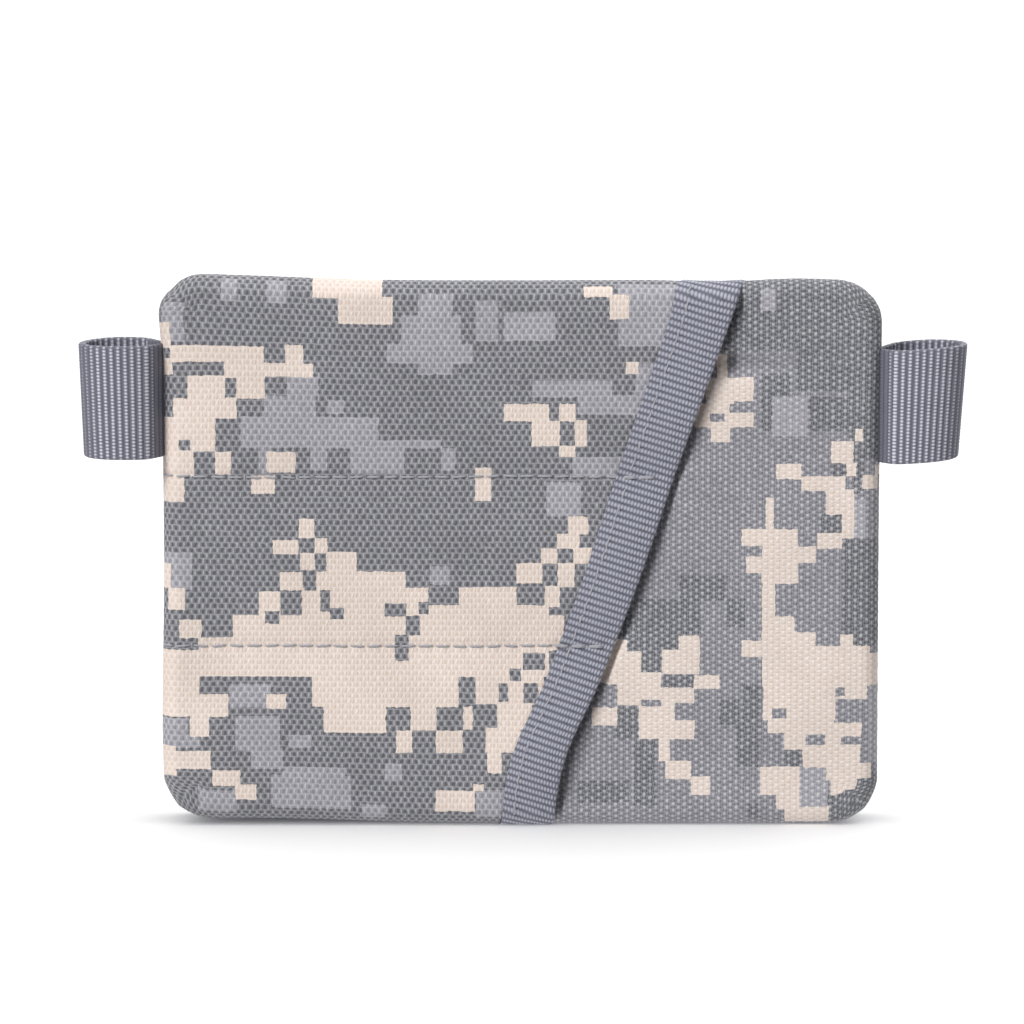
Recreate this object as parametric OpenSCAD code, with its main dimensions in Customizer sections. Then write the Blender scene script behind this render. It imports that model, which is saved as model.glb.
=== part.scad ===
// Fabric trifold wallet: three sewn leaves that fold in a Z, with a slanted slot pocket on the
// front leaf, a webbing loop in each side seam and a zipped coin pocket on the rear leaf.
// Frame: X along the width, Z up, the slot pocket faces -Y, Z = 0 is the edge it stands on.

/* [Leaves] */
// Width of the front leaf, seam to seam
leaf_w = 125; // [115:1:135]
// Height of the front leaf
leaf_h = 96; // [90:1:104]
// Corner radius of the front leaf
corner_r = 7.5; // [7:0.5:10]
// Thickness of the padded front leaf
front_t = 6; // [5:0.5:7]
// Thickness of the middle leaf
middle_t = 1.2; // [1.2:0.1:2]
// Thickness of the rear leaf
rear_t = 4; // [4:0.2:5]
// Gap between neighbouring leaves when the wallet is closed
leaf_gap = 1.9; // [1.8:0.1:2.5]
// Thickness of the coated cloth
cloth_t = 0.6; // [0.4:0.1:0.6]

/* [Slot pocket] */
// Distance of the slanted mouth from the centre line at the top edge
mouth_top_x = 39.3; // [30:0.1:44]
// Distance of the slanted mouth from the centre line at the bottom edge
mouth_bottom_x = 5.4; // [0:0.1:12]
// Height of the upper row of stitches between slots
upper_row_z = 62; // [55:1:66]
// Height of the lower row of stitches between slots
lower_row_z = 32; // [26:1:36]
// Width of the folded edge tape
tape_w = 9.7; // [6:0.1:12]
// Thickness of one ply of the edge tape
tape_t = 0.4; // [0.3:0.05:0.5]
// Depth of the slots
slot_depth = 0.6; // [0.55:0.05:0.8]

/* [Stitches] */
// Distance from one stitch to the next
stitch_pitch = 3; // [2.5:0.1:4]
// Length of thread showing in one stitch
stitch_len = 2.2; // [1.6:0.1:2.4]
// Thickness of the thread
thread_d = 0.5; // [0.4:0.05:0.6]

/* [Webbing loops] */
// Width of the webbing
webbing_w = 20; // [16:1:25]
// Thickness of the webbing
webbing_t = 1.2; // [1:0.1:1.5]
// Distance that a loop stands out from the side seam
loop_reach = 14.5; // [13:0.5:16]
// Radius of the round end of a loop
loop_r = 6.1; // [6:0.1:6.5]
// Height of the middle of a loop
loop_z = 74.5; // [60:0.5:80]

/* [Zip] */
// Height of the middle of the zip
zip_z = 73; // [68:0.5:74]
// Length of the zip chain
zip_len = 105; // [90:1:106]
// Width of one side of the chain
chain_w = 1.65; // [1.5:0.05:1.8]
// Height of the chain above its tape
chain_t = 1; // [0.8:0.1:1]
// Length of the slider
slider_len = 8; // [7:0.5:9]
// Length of the pull tab
puller_len = 17; // [12:1:20]

/* [Hidden] */
$fn = 48;

// colours of the real materials
camo_grey = [0.53, 0.53, 0.55];
camo_cream = [0.87, 0.82, 0.78];
lining_grey = [0.40, 0.40, 0.42];
tape_grey = [0.50, 0.50, 0.55];
thread_grey = [0.66, 0.66, 0.67];
foam_white = [0.92, 0.92, 0.90];
board_grey = [0.75, 0.74, 0.70];
film_clear = [0.85, 0.90, 0.92, 0.4];
hook_black = [0.20, 0.20, 0.21];
metal_grey = [0.35, 0.35, 0.37];

// depths through the stack, front to rear; the whole depth is centred on Y = 0
eye_r = 0.85;
puller_clear = 0.15;
plate_t = 0.55;
chain_clear = 0.15;
zip_proud = chain_t - cloth_t + chain_clear + plate_t + puller_clear + 2 * eye_r + 0.05;
depth = loop_r - front_t / 2 + front_t + middle_t + rear_t + 2 * leaf_gap + zip_proud;
front_y0 = -depth / 2 + loop_r - front_t / 2;
front_y1 = front_y0 + front_t;
middle_y0 = front_y1 + leaf_gap;
middle_y1 = middle_y0 + middle_t;
rear_y0 = middle_y1 + leaf_gap;
rear_y1 = rear_y0 + rear_t;
front_mid_y = (front_y0 + front_y1) / 2;
rear_mid_y = (rear_y0 + rear_y1) / 2;

// the folds: both axes run along X, midway in the gap that they close
fold_r = 0.5;
fold_len = 108;
upper_fold_y = (front_y1 + middle_y0) / 2;
upper_fold_z = leaf_h - fold_r;
lower_fold_y = (middle_y1 + rear_y0) / 2;
lower_fold_z = fold_r;

// the middle and rear leaves stop short of the folds
middle_w = leaf_w - 4;
middle_z0 = 1;
middle_h = leaf_h - 1 - middle_z0;
rear_w = leaf_w - 1;
rear_z0 = 0.8;
rear_h = leaf_h - 1.5 - rear_z0;

// the flat along the bottom edge of the front leaf, and the turned seam behind it
flat_cut = 0.25;
turn_in = 4;

// straight steps round the end of a webbing loop
loop_steps = 28;

// fittings on the inner faces
pad_t = 0.8;
board_t = 0.4;
pocket_x0 = -56;
pocket_t = 0.3;

// coin pocket: its bag, the board behind it and its zip tape, from the middle or up from the floor
bag_x = 57;
bag_z0 = 5;
bag_z1 = 89;
rear_board_x = 56;
zip_tape_x = 56.5;

// the slot pocket: mouth line, plies and cavity
panel_t = 0.5;
cavity_y = front_y0 - slot_depth;
panel_y = cavity_y - panel_t;
tape_y = panel_y - tape_t;
row_w = 1.2;
seam_w = 2;
mouth_tilt = atan((mouth_top_x - mouth_bottom_x) / leaf_h);
tape_len = leaf_h / cos(mouth_tilt);
tape_seam_in = tape_w - 2.3;

// the zip, measured from the outer face of the rear leaf
zip_tape_w = 9;
zip_tape_y = rear_y1 - cloth_t - board_t;
chain_y = zip_tape_y + board_t;
chain_gap = 0.25;
slit_half = 4.2;
plate_y = chain_y + chain_t + chain_clear;
pull_y = plate_y + plate_t + puller_clear + eye_r;
pull_rod_r = 0.45;
slider_half = 2.7;
slider_x = zip_len / 2 - slider_len / 2 - 2.5;

// Extrudes an outline drawn in X and Z, from depth y0 back to depth y1
module standing(y0, y1) {
    translate([0, y1, 0]) rotate([90, 0, 0]) linear_extrude(y1 - y0) children();
}

// Rectangle w by h with round corners, centred on X = 0, from Z = z0 up
module outline(w, h, r, z0 = 0) {
    translate([-w / 2, z0 + r]) square([w, h - 2 * r]);
    translate([-w / 2 + r, z0]) square([w - 2 * r, h]);
    for (x = [-w / 2 + r, w / 2 - r]) {
        for (z = [z0 + r, z0 + h - r]) {
            translate([x, z]) circle(r);
        }
    }
}

// Half of a disc, on the +X side of its centre
module half_disc(r) {
    intersection() {
        circle(r);
        translate([0, -r]) square([r, 2 * r]);
    }
}

// Slab w by h of thickness 2r with fully rounded edges and corners of radius c, centred on depth y
module rolled_slab(w, h, r, c, y, z0) {
    translate([0, y, z0]) {
        standing(-r, r) outline(w - 2 * r, h - 2 * r, c - r, r);
        for (side = [0, 1]) {
            mirror([side, 0, 0]) {
                translate([w / 2 - r, 0, c]) linear_extrude(h - 2 * c) half_disc(r);
                translate([w / 2 - c, 0, h - c]) rotate([90, 0, 0])
                    rotate_extrude(angle = 90) translate([c - r, 0]) half_disc(r);
                translate([w / 2 - c, 0, c]) rotate([90, 90, 0])
                    rotate_extrude(angle = 90) translate([c - r, 0]) half_disc(r);
            }
        }
        translate([-w / 2 + c, 0, h - r]) rotate([90, 0, 90])
            linear_extrude(w - 2 * c) rotate(90) half_disc(r);
        translate([-w / 2 + c, 0, r]) rotate([90, 0, 90])
            linear_extrude(w - 2 * c) rotate(-90) half_disc(r);
    }
}

// Cloth skin of a leaf: a rolled slab, hollow inside
module rolled_skin(w, h, t, c, y, z0) {
    difference() {
        rolled_slab(w, h, t / 2, c, y, z0);
        rolled_slab(w - 2 * cloth_t, h - 2 * cloth_t, t / 2 - cloth_t, c - cloth_t, y, z0 + cloth_t);
    }
}

// Box from x0 to x1, y0 to y1 and z0 to z1
module block(x0, x1, y0, y1, z0, z1) {
    translate([x0, y0, z0]) cube([x1 - x0, y1 - y0, z1 - z0]);
}

// Round bar of radius r along X, centred on X = 0
module bar(r, len, y, z) {
    translate([-len / 2, y, z]) rotate([0, 90, 0]) cylinder(r = r, h = len);
}

// Everything left of the slanted pocket mouth, moved in by inset
module left_of_mouth(inset) {
    shift = inset / cos(mouth_tilt);
    polygon([
        [-leaf_w, 0], [mouth_bottom_x - shift, 0],
        [mouth_top_x - shift, leaf_h], [-leaf_w, leaf_h]
    ]);
}

// The part of the front leaf's flat face that the slot pocket covers, moved in by inset
module pocket_outline(inset, seam) {
    intersection() {
        outline(leaf_w - front_t - 2 * seam, leaf_h - front_t - 2 * seam, corner_r - front_t / 2,
                front_t / 2 + seam);
        left_of_mouth(inset);
    }
}

// The band that the edge tape covers, from the mouth line inwards
module tape_outline() {
    difference() {
        pocket_outline(0, 0);
        left_of_mouth(tape_w);
    }
}

// One stitch lying along X, its middle at the origin, on a face that looks towards -Y
module stitch(len) {
    translate([-len / 2, -thread_d / 2 * 0.6, -thread_d / 2]) cube([len, thread_d / 2 * 0.6, thread_d]);
}

// Row of stitches at height z: on the panel as far as the tape, then on the tape
module slot_row(z) {
    mouth_x = mouth_bottom_x + (mouth_top_x - mouth_bottom_x) * z / leaf_h;
    tape_x = mouth_x - tape_w / cos(mouth_tilt);
    first_x = -leaf_w / 2 + front_t / 2 + stitch_pitch / 2;
    for (x = [first_x : stitch_pitch : tape_x - stitch_len]) {
        translate([x, panel_y, z]) stitch(stitch_len);
    }
    for (x = [tape_x + stitch_pitch / 2 : stitch_pitch : mouth_x - stitch_len / 2]) {
        translate([x, tape_y, z]) stitch(stitch_len);
    }
}

// Flat pocket sewn on three sides: mouth at x1, outer face at y_out, back face at y_in
module flat_pocket(x1, y_out, y_in, z0, z1) {
    hollow = (y_in - y_out) * 0.4;
    difference() {
        block(pocket_x0, x1, min(y_out, y_in), max(y_out, y_in), z0, z1);
        block(pocket_x0 + seam_w, x1 + 1, min(y_in - hollow, y_in), max(y_in - hollow, y_in),
              z0 + seam_w, z1 - seam_w);
    }
}

// Front leaf

module front_shell() {
    color(camo_grey) difference() {
        rolled_skin(leaf_w, leaf_h + flat_cut, front_t, corner_r, front_mid_y, -flat_cut);
        standing(front_y1 - cloth_t, front_y1 + 1)
            outline(leaf_w - 2 * turn_in, leaf_h - 2 * turn_in, corner_r - turn_in, turn_in);
        block(-leaf_w, leaf_w, -leaf_w, leaf_w, -1, 0);
    }
}

module front_foam() {
    inset = front_t / 2 + 0.2;
    color(foam_white) standing(front_y0 + cloth_t, front_y1 - cloth_t)
        outline(leaf_w - 2 * inset, leaf_h - 2 * inset, corner_r - inset, inset);
}

module front_lining() {
    color(lining_grey) standing(front_y1 - cloth_t, front_y1)
        outline(leaf_w - 2 * turn_in, leaf_h - 2 * turn_in, corner_r - turn_in, turn_in);
}

module slot_pocket_panel() {
    slots = [
        [front_t / 2 + seam_w, lower_row_z - row_w / 2],
        [lower_row_z + row_w / 2, upper_row_z - row_w / 2],
        [upper_row_z + row_w / 2, leaf_h - front_t / 2 - seam_w]
    ];
    color(camo_cream) difference() {
        standing(panel_y, front_y0) pocket_outline(tape_t, 0);
        for (slot = slots) {
            standing(cavity_y, front_y0 + 1) intersection() {
                pocket_outline(-5, seam_w);
                translate([-leaf_w, slot[0]]) square([2 * leaf_w, slot[1] - slot[0]]);
            }
        }
        standing(cavity_y, front_y0 + 1) tape_outline();
    }
}

module pocket_edge_tape() {
    color(tape_grey) {
        standing(tape_y, panel_y) tape_outline();
        standing(cavity_y, cavity_y + tape_t) tape_outline();
        standing(tape_y, cavity_y + tape_t) difference() {
            pocket_outline(0, 0);
            left_of_mouth(tape_t);
        }
        for (z = [lower_row_z, upper_row_z]) {
            standing(cavity_y, front_y0) intersection() {
                tape_outline();
                translate([-leaf_w, z - row_w / 2]) square([2 * leaf_w, row_w]);
            }
        }
    }
}

// Height of the tape's stitch that lies s along the mouth line
function tape_stitch_z(s) = s * cos(mouth_tilt) + tape_seam_in * sin(mouth_tilt);

// Row of stitches along the tape, left open where the rows between slots cross it
module tape_stitching() {
    first = 4 / cos(mouth_tilt) + stitch_pitch;
    room = stitch_len / 2 + thread_d;
    color(thread_grey) translate([mouth_bottom_x, tape_y, 0]) rotate([0, mouth_tilt - 90, 0])
        for (s = [first : stitch_pitch : tape_len - 2 * first]) {
            z = tape_stitch_z(s);
            if (abs(z - lower_row_z) > room && abs(z - upper_row_z) > room) {
                translate([s, 0, tape_seam_in]) stitch(stitch_len);
            }
        }
}

module upper_slot_stitching() {
    color(thread_grey) slot_row(upper_row_z);
}

module lower_slot_stitching() {
    color(thread_grey) slot_row(lower_row_z);
}

// Card window on the rear face of the front leaf, open towards +X
window_x1 = 5;
window_rim = 5;
window_z0 = 5;
window_z1 = leaf_h - 5;

module id_window_frame() {
    color(hook_black) difference() {
        block(pocket_x0, window_x1, front_y1, front_y1 + pad_t, window_z0, window_z1);
        block(pocket_x0 + window_rim, window_x1 + 1, front_y1 - 1, front_y1 + pad_t + 1,
              window_z0 + window_rim, window_z1 - window_rim);
    }
}

module id_window_film() {
    film_t = 0.2;
    color(film_clear) block(pocket_x0 + window_rim, window_x1, front_y1 + pad_t - 2 * film_t,
                            front_y1 + pad_t - film_t, window_z0 + window_rim,
                            window_z1 - window_rim);
}

// Hook and loop pads that hold the front and middle leaves together, near the free edge
lower_pad = [20, 54, 5.5, 17];

module front_hook_pad() {
    color(hook_black) block(lower_pad[0], lower_pad[1], front_y1, front_y1 + pad_t,
                            lower_pad[2], lower_pad[3]);
}

module upper_fold_strip() {
    color(lining_grey) {
        bar(fold_r, fold_len, upper_fold_y, upper_fold_z);
        block(-fold_len / 2, fold_len / 2, front_y1, upper_fold_y - fold_r / 2,
              window_z1 + 0.5, upper_fold_z);
    }
}

// Middle leaf

binding_w = 3;
binding_proud = 0.3;

module middle_sheet(y0, y1, inset) {
    standing(y0, y1) outline(middle_w - 2 * inset, middle_h - 2 * inset, corner_r - 1 - inset,
                             middle_z0 + inset);
}

module middle_front_lining() {
    color(lining_grey) middle_sheet(middle_y0, middle_y0 + board_t, 0.5);
}

module middle_board() {
    color(board_grey) middle_sheet(middle_y0 + board_t, middle_y1 - board_t, binding_w);
}

module middle_rear_lining() {
    color(lining_grey) middle_sheet(middle_y1 - board_t, middle_y1, 0.5);
}

module middle_edge_binding() {
    color(tape_grey) difference() {
        middle_sheet(middle_y0 - binding_proud, middle_y1 + binding_proud, 0);
        middle_sheet(middle_y0, middle_y1, 0.5);
        middle_sheet(middle_y0 - 1, middle_y1 + 1, binding_w);
    }
}

// Card pockets in steps, each mouth further along X than the one in front of it
card_mouths = [14, 0, -14];

module card_pocket(step) {
    y_in = middle_y0 - step * pocket_t;
    color(lining_grey) flat_pocket(card_mouths[step], y_in - pocket_t, y_in, 5, leaf_h - 5);
}

module card_pocket_upper() { card_pocket(0); }
module card_pocket_middle() { card_pocket(1); }
module card_pocket_lower() { card_pocket(2); }

module bill_pocket_panel() {
    color(lining_grey) flat_pocket(50, middle_y1 + 2 * pocket_t, middle_y1, 5, 77);
}

module middle_loop_pad() {
    color(lining_grey) block(lower_pad[0], lower_pad[1], middle_y0 - pad_t, middle_y0,
                             lower_pad[2], lower_pad[3]);
}

// Hook and loop pads that hold the middle and rear leaves together
upper_pad = [-20, 20, 80, 91];

module middle_hook_pad() {
    color(hook_black) block(upper_pad[0], upper_pad[1], middle_y1, middle_y1 + pad_t,
                            upper_pad[2], upper_pad[3]);
}

module lower_fold_strip() {
    color(lining_grey) {
        bar(fold_r, fold_len, lower_fold_y, lower_fold_z);
        block(-fold_len / 2, fold_len / 2, middle_y1 + binding_proud, lower_fold_y - fold_r / 2,
              lower_fold_z, middle_z0 + binding_w);
    }
}

// Rear leaf

module rear_skin() {
    difference() {
        rolled_skin(rear_w, rear_h, rear_t, corner_r - 0.5, rear_mid_y, rear_z0);
        standing(rear_y0 - 1, rear_y0 + cloth_t) rear_inner_outline();
    }
}

module rear_inner_outline() {
    outline(rear_w - 6, rear_h - 6, corner_r - 3.5, rear_z0 + 3);
}

module rear_lower_panel() {
    color(camo_grey) difference() {
        rear_skin();
        block(-leaf_w, leaf_w, -leaf_w, leaf_w, zip_z - slit_half, 2 * leaf_h);
    }
}

module rear_upper_panel() {
    color(camo_grey) difference() {
        rear_skin();
        block(-leaf_w, leaf_w, -leaf_w, leaf_w, -leaf_h, zip_z + slit_half);
    }
}

module rear_lining() {
    color(lining_grey) standing(rear_y0, rear_y0 + cloth_t) rear_inner_outline();
}

module rear_board() {
    color(board_grey) block(-rear_board_x, rear_board_x, rear_y0 + cloth_t, rear_y0 + cloth_t + board_t,
                            bag_z0 + 1, bag_z1 - 1);
}

// Shallow bag behind the zip, open towards the panels
module coin_pocket_bag() {
    wall = 0.4;
    bag_y0 = rear_y0 + cloth_t + board_t;
    color(lining_grey) difference() {
        block(-bag_x, bag_x, bag_y0, rear_y1 - cloth_t, bag_z0, bag_z1);
        block(-bag_x + wall, bag_x - wall, bag_y0 + wall, rear_y1, bag_z0 + wall, bag_z1 - wall);
    }
}

// One side of the zip tape: side is -1 below the chain and 1 above it
module zip_tape(side) {
    near = zip_z + side * chain_gap;
    far = zip_z + side * zip_tape_w;
    color(hook_black) block(-zip_tape_x, zip_tape_x, zip_tape_y, chain_y, min(near, far), max(near, far));
}

module zip_tape_lower() { zip_tape(-1); }
module zip_tape_upper() { zip_tape(1); }

module zip_chain(side) {
    near = zip_z + side * chain_gap;
    far = near + side * chain_w;
    color(hook_black) block(-zip_len / 2, zip_len / 2, chain_y, chain_y + chain_t,
                            min(near, far), max(near, far));
}

module zip_chain_lower() { zip_chain(-1); }
module zip_chain_upper() { zip_chain(1); }

module zip_stops() {
    half = chain_gap + chain_w + 0.1;
    color(metal_grey) for (side = [0, 1]) {
        mirror([side, 0, 0])
            block(zip_len / 2, zip_len / 2 + 1.5, chain_y, chain_y + chain_t + 0.1,
                  zip_z - half, zip_z + half);
    }
}

module rear_loop_pad() {
    color(lining_grey) block(upper_pad[0], upper_pad[1], rear_y0 - pad_t, rear_y0,
                             upper_pad[2], upper_pad[3]);
}

// Webbing loops

// Points of a drop: its tip on the X axis at Y = 0, its round end of radius r about [end_x, 0]
function drop_points(end_x, r, lean) = concat(
    [[end_x - r / sin(lean), 0]],
    [for (i = [0 : loop_steps])
        let (a = (90 + lean) * (2 * i / loop_steps - 1))
        [end_x + r * cos(a), r * sin(a)]]
);

// Loop on the right side: two plies that leave the seam in a V and join in a round end.
// Its inner end is hollowed, so that it turns round the rolled edge of the front leaf.
module webbing_loop() {
    edge_r = front_t / 2;
    edge_x = leaf_w / 2 - edge_r;
    tip_x = leaf_w / 2 - 0.6;
    end_x = leaf_w / 2 + loop_reach - loop_r;
    lean = asin(loop_r / (end_x - tip_x));
    translate([0, front_mid_y, loop_z - webbing_w / 2]) linear_extrude(webbing_w) difference() {
        polygon(drop_points(end_x, loop_r, lean));
        polygon(drop_points(end_x, loop_r - webbing_t, lean));
        translate([edge_x, 0]) circle(edge_r + 0.15);
    }
}

module left_webbing_loop() {
    color(tape_grey) mirror([1, 0, 0]) webbing_loop();
}

module right_webbing_loop() {
    color(tape_grey) webbing_loop();
}

// Slider: two plates joined by a thin post that runs between the two sides of the chain
module zip_slider() {
    half_len = slider_len / 2;
    under_y = zip_tape_y - 0.25;
    ear_x = 2.2;
    ear_t = 0.8;
    color(metal_grey) translate([slider_x, 0, zip_z]) {
        standing(plate_y, plate_y + plate_t) translate([0, -slider_half])
            outline(slider_len, 2 * slider_half, 1.5);
        standing(under_y - plate_t, under_y) translate([0, -slider_half])
            outline(slider_len, 2 * slider_half, 1.5);
        block(-1.5, 1.5, under_y, plate_y, -0.1, 0.1);
        for (side = [-1, 1]) {
            rim_z = side * (slider_half - 0.3);
            block(-half_len + 1.5, half_len - 1.5, chain_y + 0.2, plate_y, rim_z - 0.3, rim_z + 0.3);
            translate([side * (ear_x + ear_t / 2), 0, 0]) {
                bar(eye_r + 0.05, ear_t, pull_y, 0);
                block(-ear_t / 2, ear_t / 2, plate_y + plate_t, pull_y, -eye_r, eye_r);
            }
        }
        bar(pull_rod_r, 2 * ear_x, pull_y, 0);
    }
}

// Pull tab hanging from the slider's rod
module zip_puller() {
    neck_half = 2;
    tab_half = 2.4;
    tab_t = 0.8;
    neck_len = 4;
    color(metal_grey) translate([slider_x, pull_y, zip_z]) difference() {
        union() {
            bar(eye_r, 2 * neck_half, 0, 0);
            block(-neck_half, neck_half, -tab_t / 2, tab_t / 2, -neck_len - 1, 0);
            standing(-tab_t / 2, tab_t / 2)
                outline(2 * tab_half, puller_len - neck_len, 1.5, -puller_len);
        }
        bar(pull_rod_r + 0.07, 3 * neck_half, 0, 0);
    }
}

front_shell();
front_foam();
front_lining();
slot_pocket_panel();
pocket_edge_tape();
tape_stitching();
upper_slot_stitching();
lower_slot_stitching();
id_window_frame();
id_window_film();
front_hook_pad();
upper_fold_strip();
middle_front_lining();
middle_board();
middle_rear_lining();
middle_edge_binding();
card_pocket_upper();
card_pocket_middle();
card_pocket_lower();
bill_pocket_panel();
middle_loop_pad();
middle_hook_pad();
lower_fold_strip();
rear_lower_panel();
rear_upper_panel();
rear_lining();
rear_board();
coin_pocket_bag();
zip_tape_lower();
zip_tape_upper();
zip_chain_lower();
zip_chain_upper();
zip_stops();
rear_loop_pad();
left_webbing_loop();
right_webbing_loop();
zip_slider();
zip_puller();
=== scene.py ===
# Looks of the trifold wallet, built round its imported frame.
# Lengths in the helpers are millimetres in the row frame: X to the right, Z up, and the slot
# pocket faces -Y. mesh_piece() turns them into metres.

import math
from collections import namedtuple

import bpy
import numpy as np
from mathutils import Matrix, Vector


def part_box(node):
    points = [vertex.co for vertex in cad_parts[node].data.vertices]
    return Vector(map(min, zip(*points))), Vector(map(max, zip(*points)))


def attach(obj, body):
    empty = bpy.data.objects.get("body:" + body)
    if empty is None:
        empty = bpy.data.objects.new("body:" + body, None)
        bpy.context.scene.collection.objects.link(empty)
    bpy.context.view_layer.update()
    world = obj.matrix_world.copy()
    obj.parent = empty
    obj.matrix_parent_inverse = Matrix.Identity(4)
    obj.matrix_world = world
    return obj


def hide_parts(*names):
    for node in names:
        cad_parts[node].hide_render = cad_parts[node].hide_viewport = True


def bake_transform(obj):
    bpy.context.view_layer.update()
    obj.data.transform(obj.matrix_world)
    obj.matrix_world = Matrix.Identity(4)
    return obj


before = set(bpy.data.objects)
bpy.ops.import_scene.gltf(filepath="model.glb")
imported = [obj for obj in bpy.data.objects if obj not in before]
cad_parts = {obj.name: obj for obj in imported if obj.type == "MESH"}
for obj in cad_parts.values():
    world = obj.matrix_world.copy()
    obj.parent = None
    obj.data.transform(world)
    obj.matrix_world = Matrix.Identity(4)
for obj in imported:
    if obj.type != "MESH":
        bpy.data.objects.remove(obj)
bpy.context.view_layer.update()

PI = math.pi
MM = 0.001

# ---------------------------------------------------------------- sizes read from the frame


def span(*nodes):
    """Lowest and highest corner of the box round CAD nodes, in millimetres."""
    boxes = np.array([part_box(node) for node in nodes]) / MM
    return boxes[:, 0].min(0), boxes[:, 1].max(0)


# A leaf of cloth rolled round its edges: half its width and height, radius of the rolled edge,
# radius of its corners and the place of its middle
Leaf = namedtuple("Leaf", "half_w half_h roll corner mid_x mid_y mid_z")


def leaf_of(corner, *nodes):
    """The rolled leaf that fills the box round CAD nodes."""
    low, high = span(*nodes)
    half = (high - low) / 2
    middle = (high + low) / 2
    return Leaf(half[0], half[2], half[1], corner, middle[0], middle[1], middle[2])


# The stuffed leaf touches the floor only at the end of its tape and swells a little at the top
SEAT_GAP = 0.1
TOP_SWELL = 0.35
front = leaf_of(7.5, "front_shell")
front = front._replace(half_h=front.half_h + (TOP_SWELL - SEAT_GAP) / 2,
                       mid_z=front.mid_z + (TOP_SWELL + SEAT_GAP) / 2)
FRONT_FACE_Y = front.mid_y - front.roll

# The rear leaf stays a little lower, clear of the front leaf when the wallet is open
REAR_DROP = 0.8
rear = leaf_of(7.0, "rear_lower_panel", "rear_upper_panel")
rear = rear._replace(half_h=rear.half_h - REAR_DROP / 2, mid_z=rear.mid_z - REAR_DROP / 2)
ZIP_LOW = span("rear_lower_panel")[1][2]
ZIP_HIGH = span("rear_upper_panel")[0][2]
REAR_SKIN = 0.6
REAR_HEM = 3.4
# How far from the zip the rows of stitches beside it run
ZIP_ROW_IN = 1.9

TAPE_W = 8.9
TAPE_T = 0.42
PANEL_T = 0.35
# The cloth ends 1.1 mm inside the tape's folded edge
MOUTH_BOTTOM_X = 5.4 - 1.1
MOUTH_TOP_X = 39.3 - 1.1
LEAF_H = 96
TILT = math.atan((MOUTH_TOP_X - MOUTH_BOTTOM_X) / LEAF_H)
ROW_HEIGHTS = (62, 32)
ROW_PITCH = 3.0
TAPE_SEAM_IN = 6.8

# ---------------------------------------------------------------- mesh helpers


def stacked(*parts):
    """Vectors out of their coordinates, which are stretched to match one another."""
    return np.stack(np.broadcast_arrays(*parts), -1)


def unit(vectors):
    """The same directions, each with length 1."""
    return vectors / np.linalg.norm(vectors, axis=-1, keepdims=True)


def grid_quads(rows, columns, first=0, wrap=False):
    """Quads of a grid of points numbered row by row; wrap joins the last column to the first."""
    row = np.arange(rows - 1)[:, None]
    column = np.arange(columns if wrap else columns - 1)[None, :]
    here = first + row * columns + column
    beside = first + row * columns + (column + 1) % columns
    return np.stack([here, beside, beside + columns, here + columns], -1).reshape(-1, 4)


def rim_of(rows, columns):
    """Point numbers round the rim of a grid, in the winding order of its quads."""
    grid = np.arange(rows * columns).reshape(rows, columns)
    return np.concatenate([grid[0, :-1], grid[:-1, -1], grid[-1, :0:-1], grid[:0:-1, 0]])


def slab(face, back):
    """Closed slab between two matching grids of points."""
    rows, columns = face.shape[:2]
    rim = rim_of(rows, columns)
    under = rim + rows * columns
    sides = np.stack([np.roll(rim, -1), rim, under, np.roll(under, -1)], -1)
    back_quads = grid_quads(rows, columns, rows * columns)[:, ::-1]
    quads = np.vstack([grid_quads(rows, columns), back_quads, sides])
    return np.concatenate([face.reshape(-1, 3), back.reshape(-1, 3)]), [quads]


def tube(rings):
    """Closed tube through rings of points, with flat ends."""
    count, around = rings.shape[:2]
    start = np.arange(around)[::-1][None]
    end = ((count - 1) * around + np.arange(around))[None]
    return rings.reshape(-1, 3), [grid_quads(count, around, wrap=True), start, end]


def ring(rings):
    """Closed tube through rings of points that ends where it starts."""
    count, around = rings.shape[:2]
    quads = grid_quads(count + 1, around, wrap=True) % (count * around)
    return rings.reshape(-1, 3), [quads]


def merged(parts):
    """One set of points and faces out of several."""
    points, faces, first = [], [], 0
    for part_points, part_faces in parts:
        points.append(part_points)
        faces.extend(face + first for face in part_faces)
        first += len(part_points)
    return np.concatenate(points), faces


def signed_volume(points, faces):
    """Volume inside closed faces, negative where they are wound inside out."""
    total = 0.0
    for face in faces:
        corner = points[face]
        for k in range(1, face.shape[1] - 1):
            total += np.einsum("ij,ij->", corner[:, 0], np.cross(corner[:, k], corner[:, k + 1]))
    return total / 6


def mesh_piece(name, points, faces, cloth, material, body=None, slot=None, stands_for=()):
    """Smooth mesh in metres that rides on a body; cloth holds each point's place on the flat cloth."""
    if signed_volume(points - points.mean(0), faces) < 0:
        faces = [face[:, ::-1] for face in faces]
    corners = np.concatenate([face.ravel() for face in faces])
    sizes = np.concatenate([np.full(len(face), face.shape[1]) for face in faces])
    mesh = bpy.data.meshes.new(name)
    mesh.vertices.add(len(points))
    mesh.vertices.foreach_set("co", (points * MM).astype(np.float32).ravel())
    mesh.loops.add(len(corners))
    mesh.loops.foreach_set("vertex_index", corners.astype(np.int32))
    mesh.polygons.add(len(sizes))
    mesh.polygons.foreach_set("loop_start", (np.cumsum(sizes) - sizes).astype(np.int32))
    mesh.update(calc_edges=True)
    mesh.validate()
    mesh.shade_smooth()
    places = mesh.attributes.new("cloth", "FLOAT_VECTOR", "POINT")
    places.data.foreach_set("vector", np.asarray(cloth, np.float32).ravel())
    mesh.materials.append(material)
    piece = bpy.data.objects.new(name, mesh)
    bpy.context.scene.collection.objects.link(piece)
    if body:
        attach(piece, body)
    if stands_for:
        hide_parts(*stands_for)
    return piece


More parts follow.
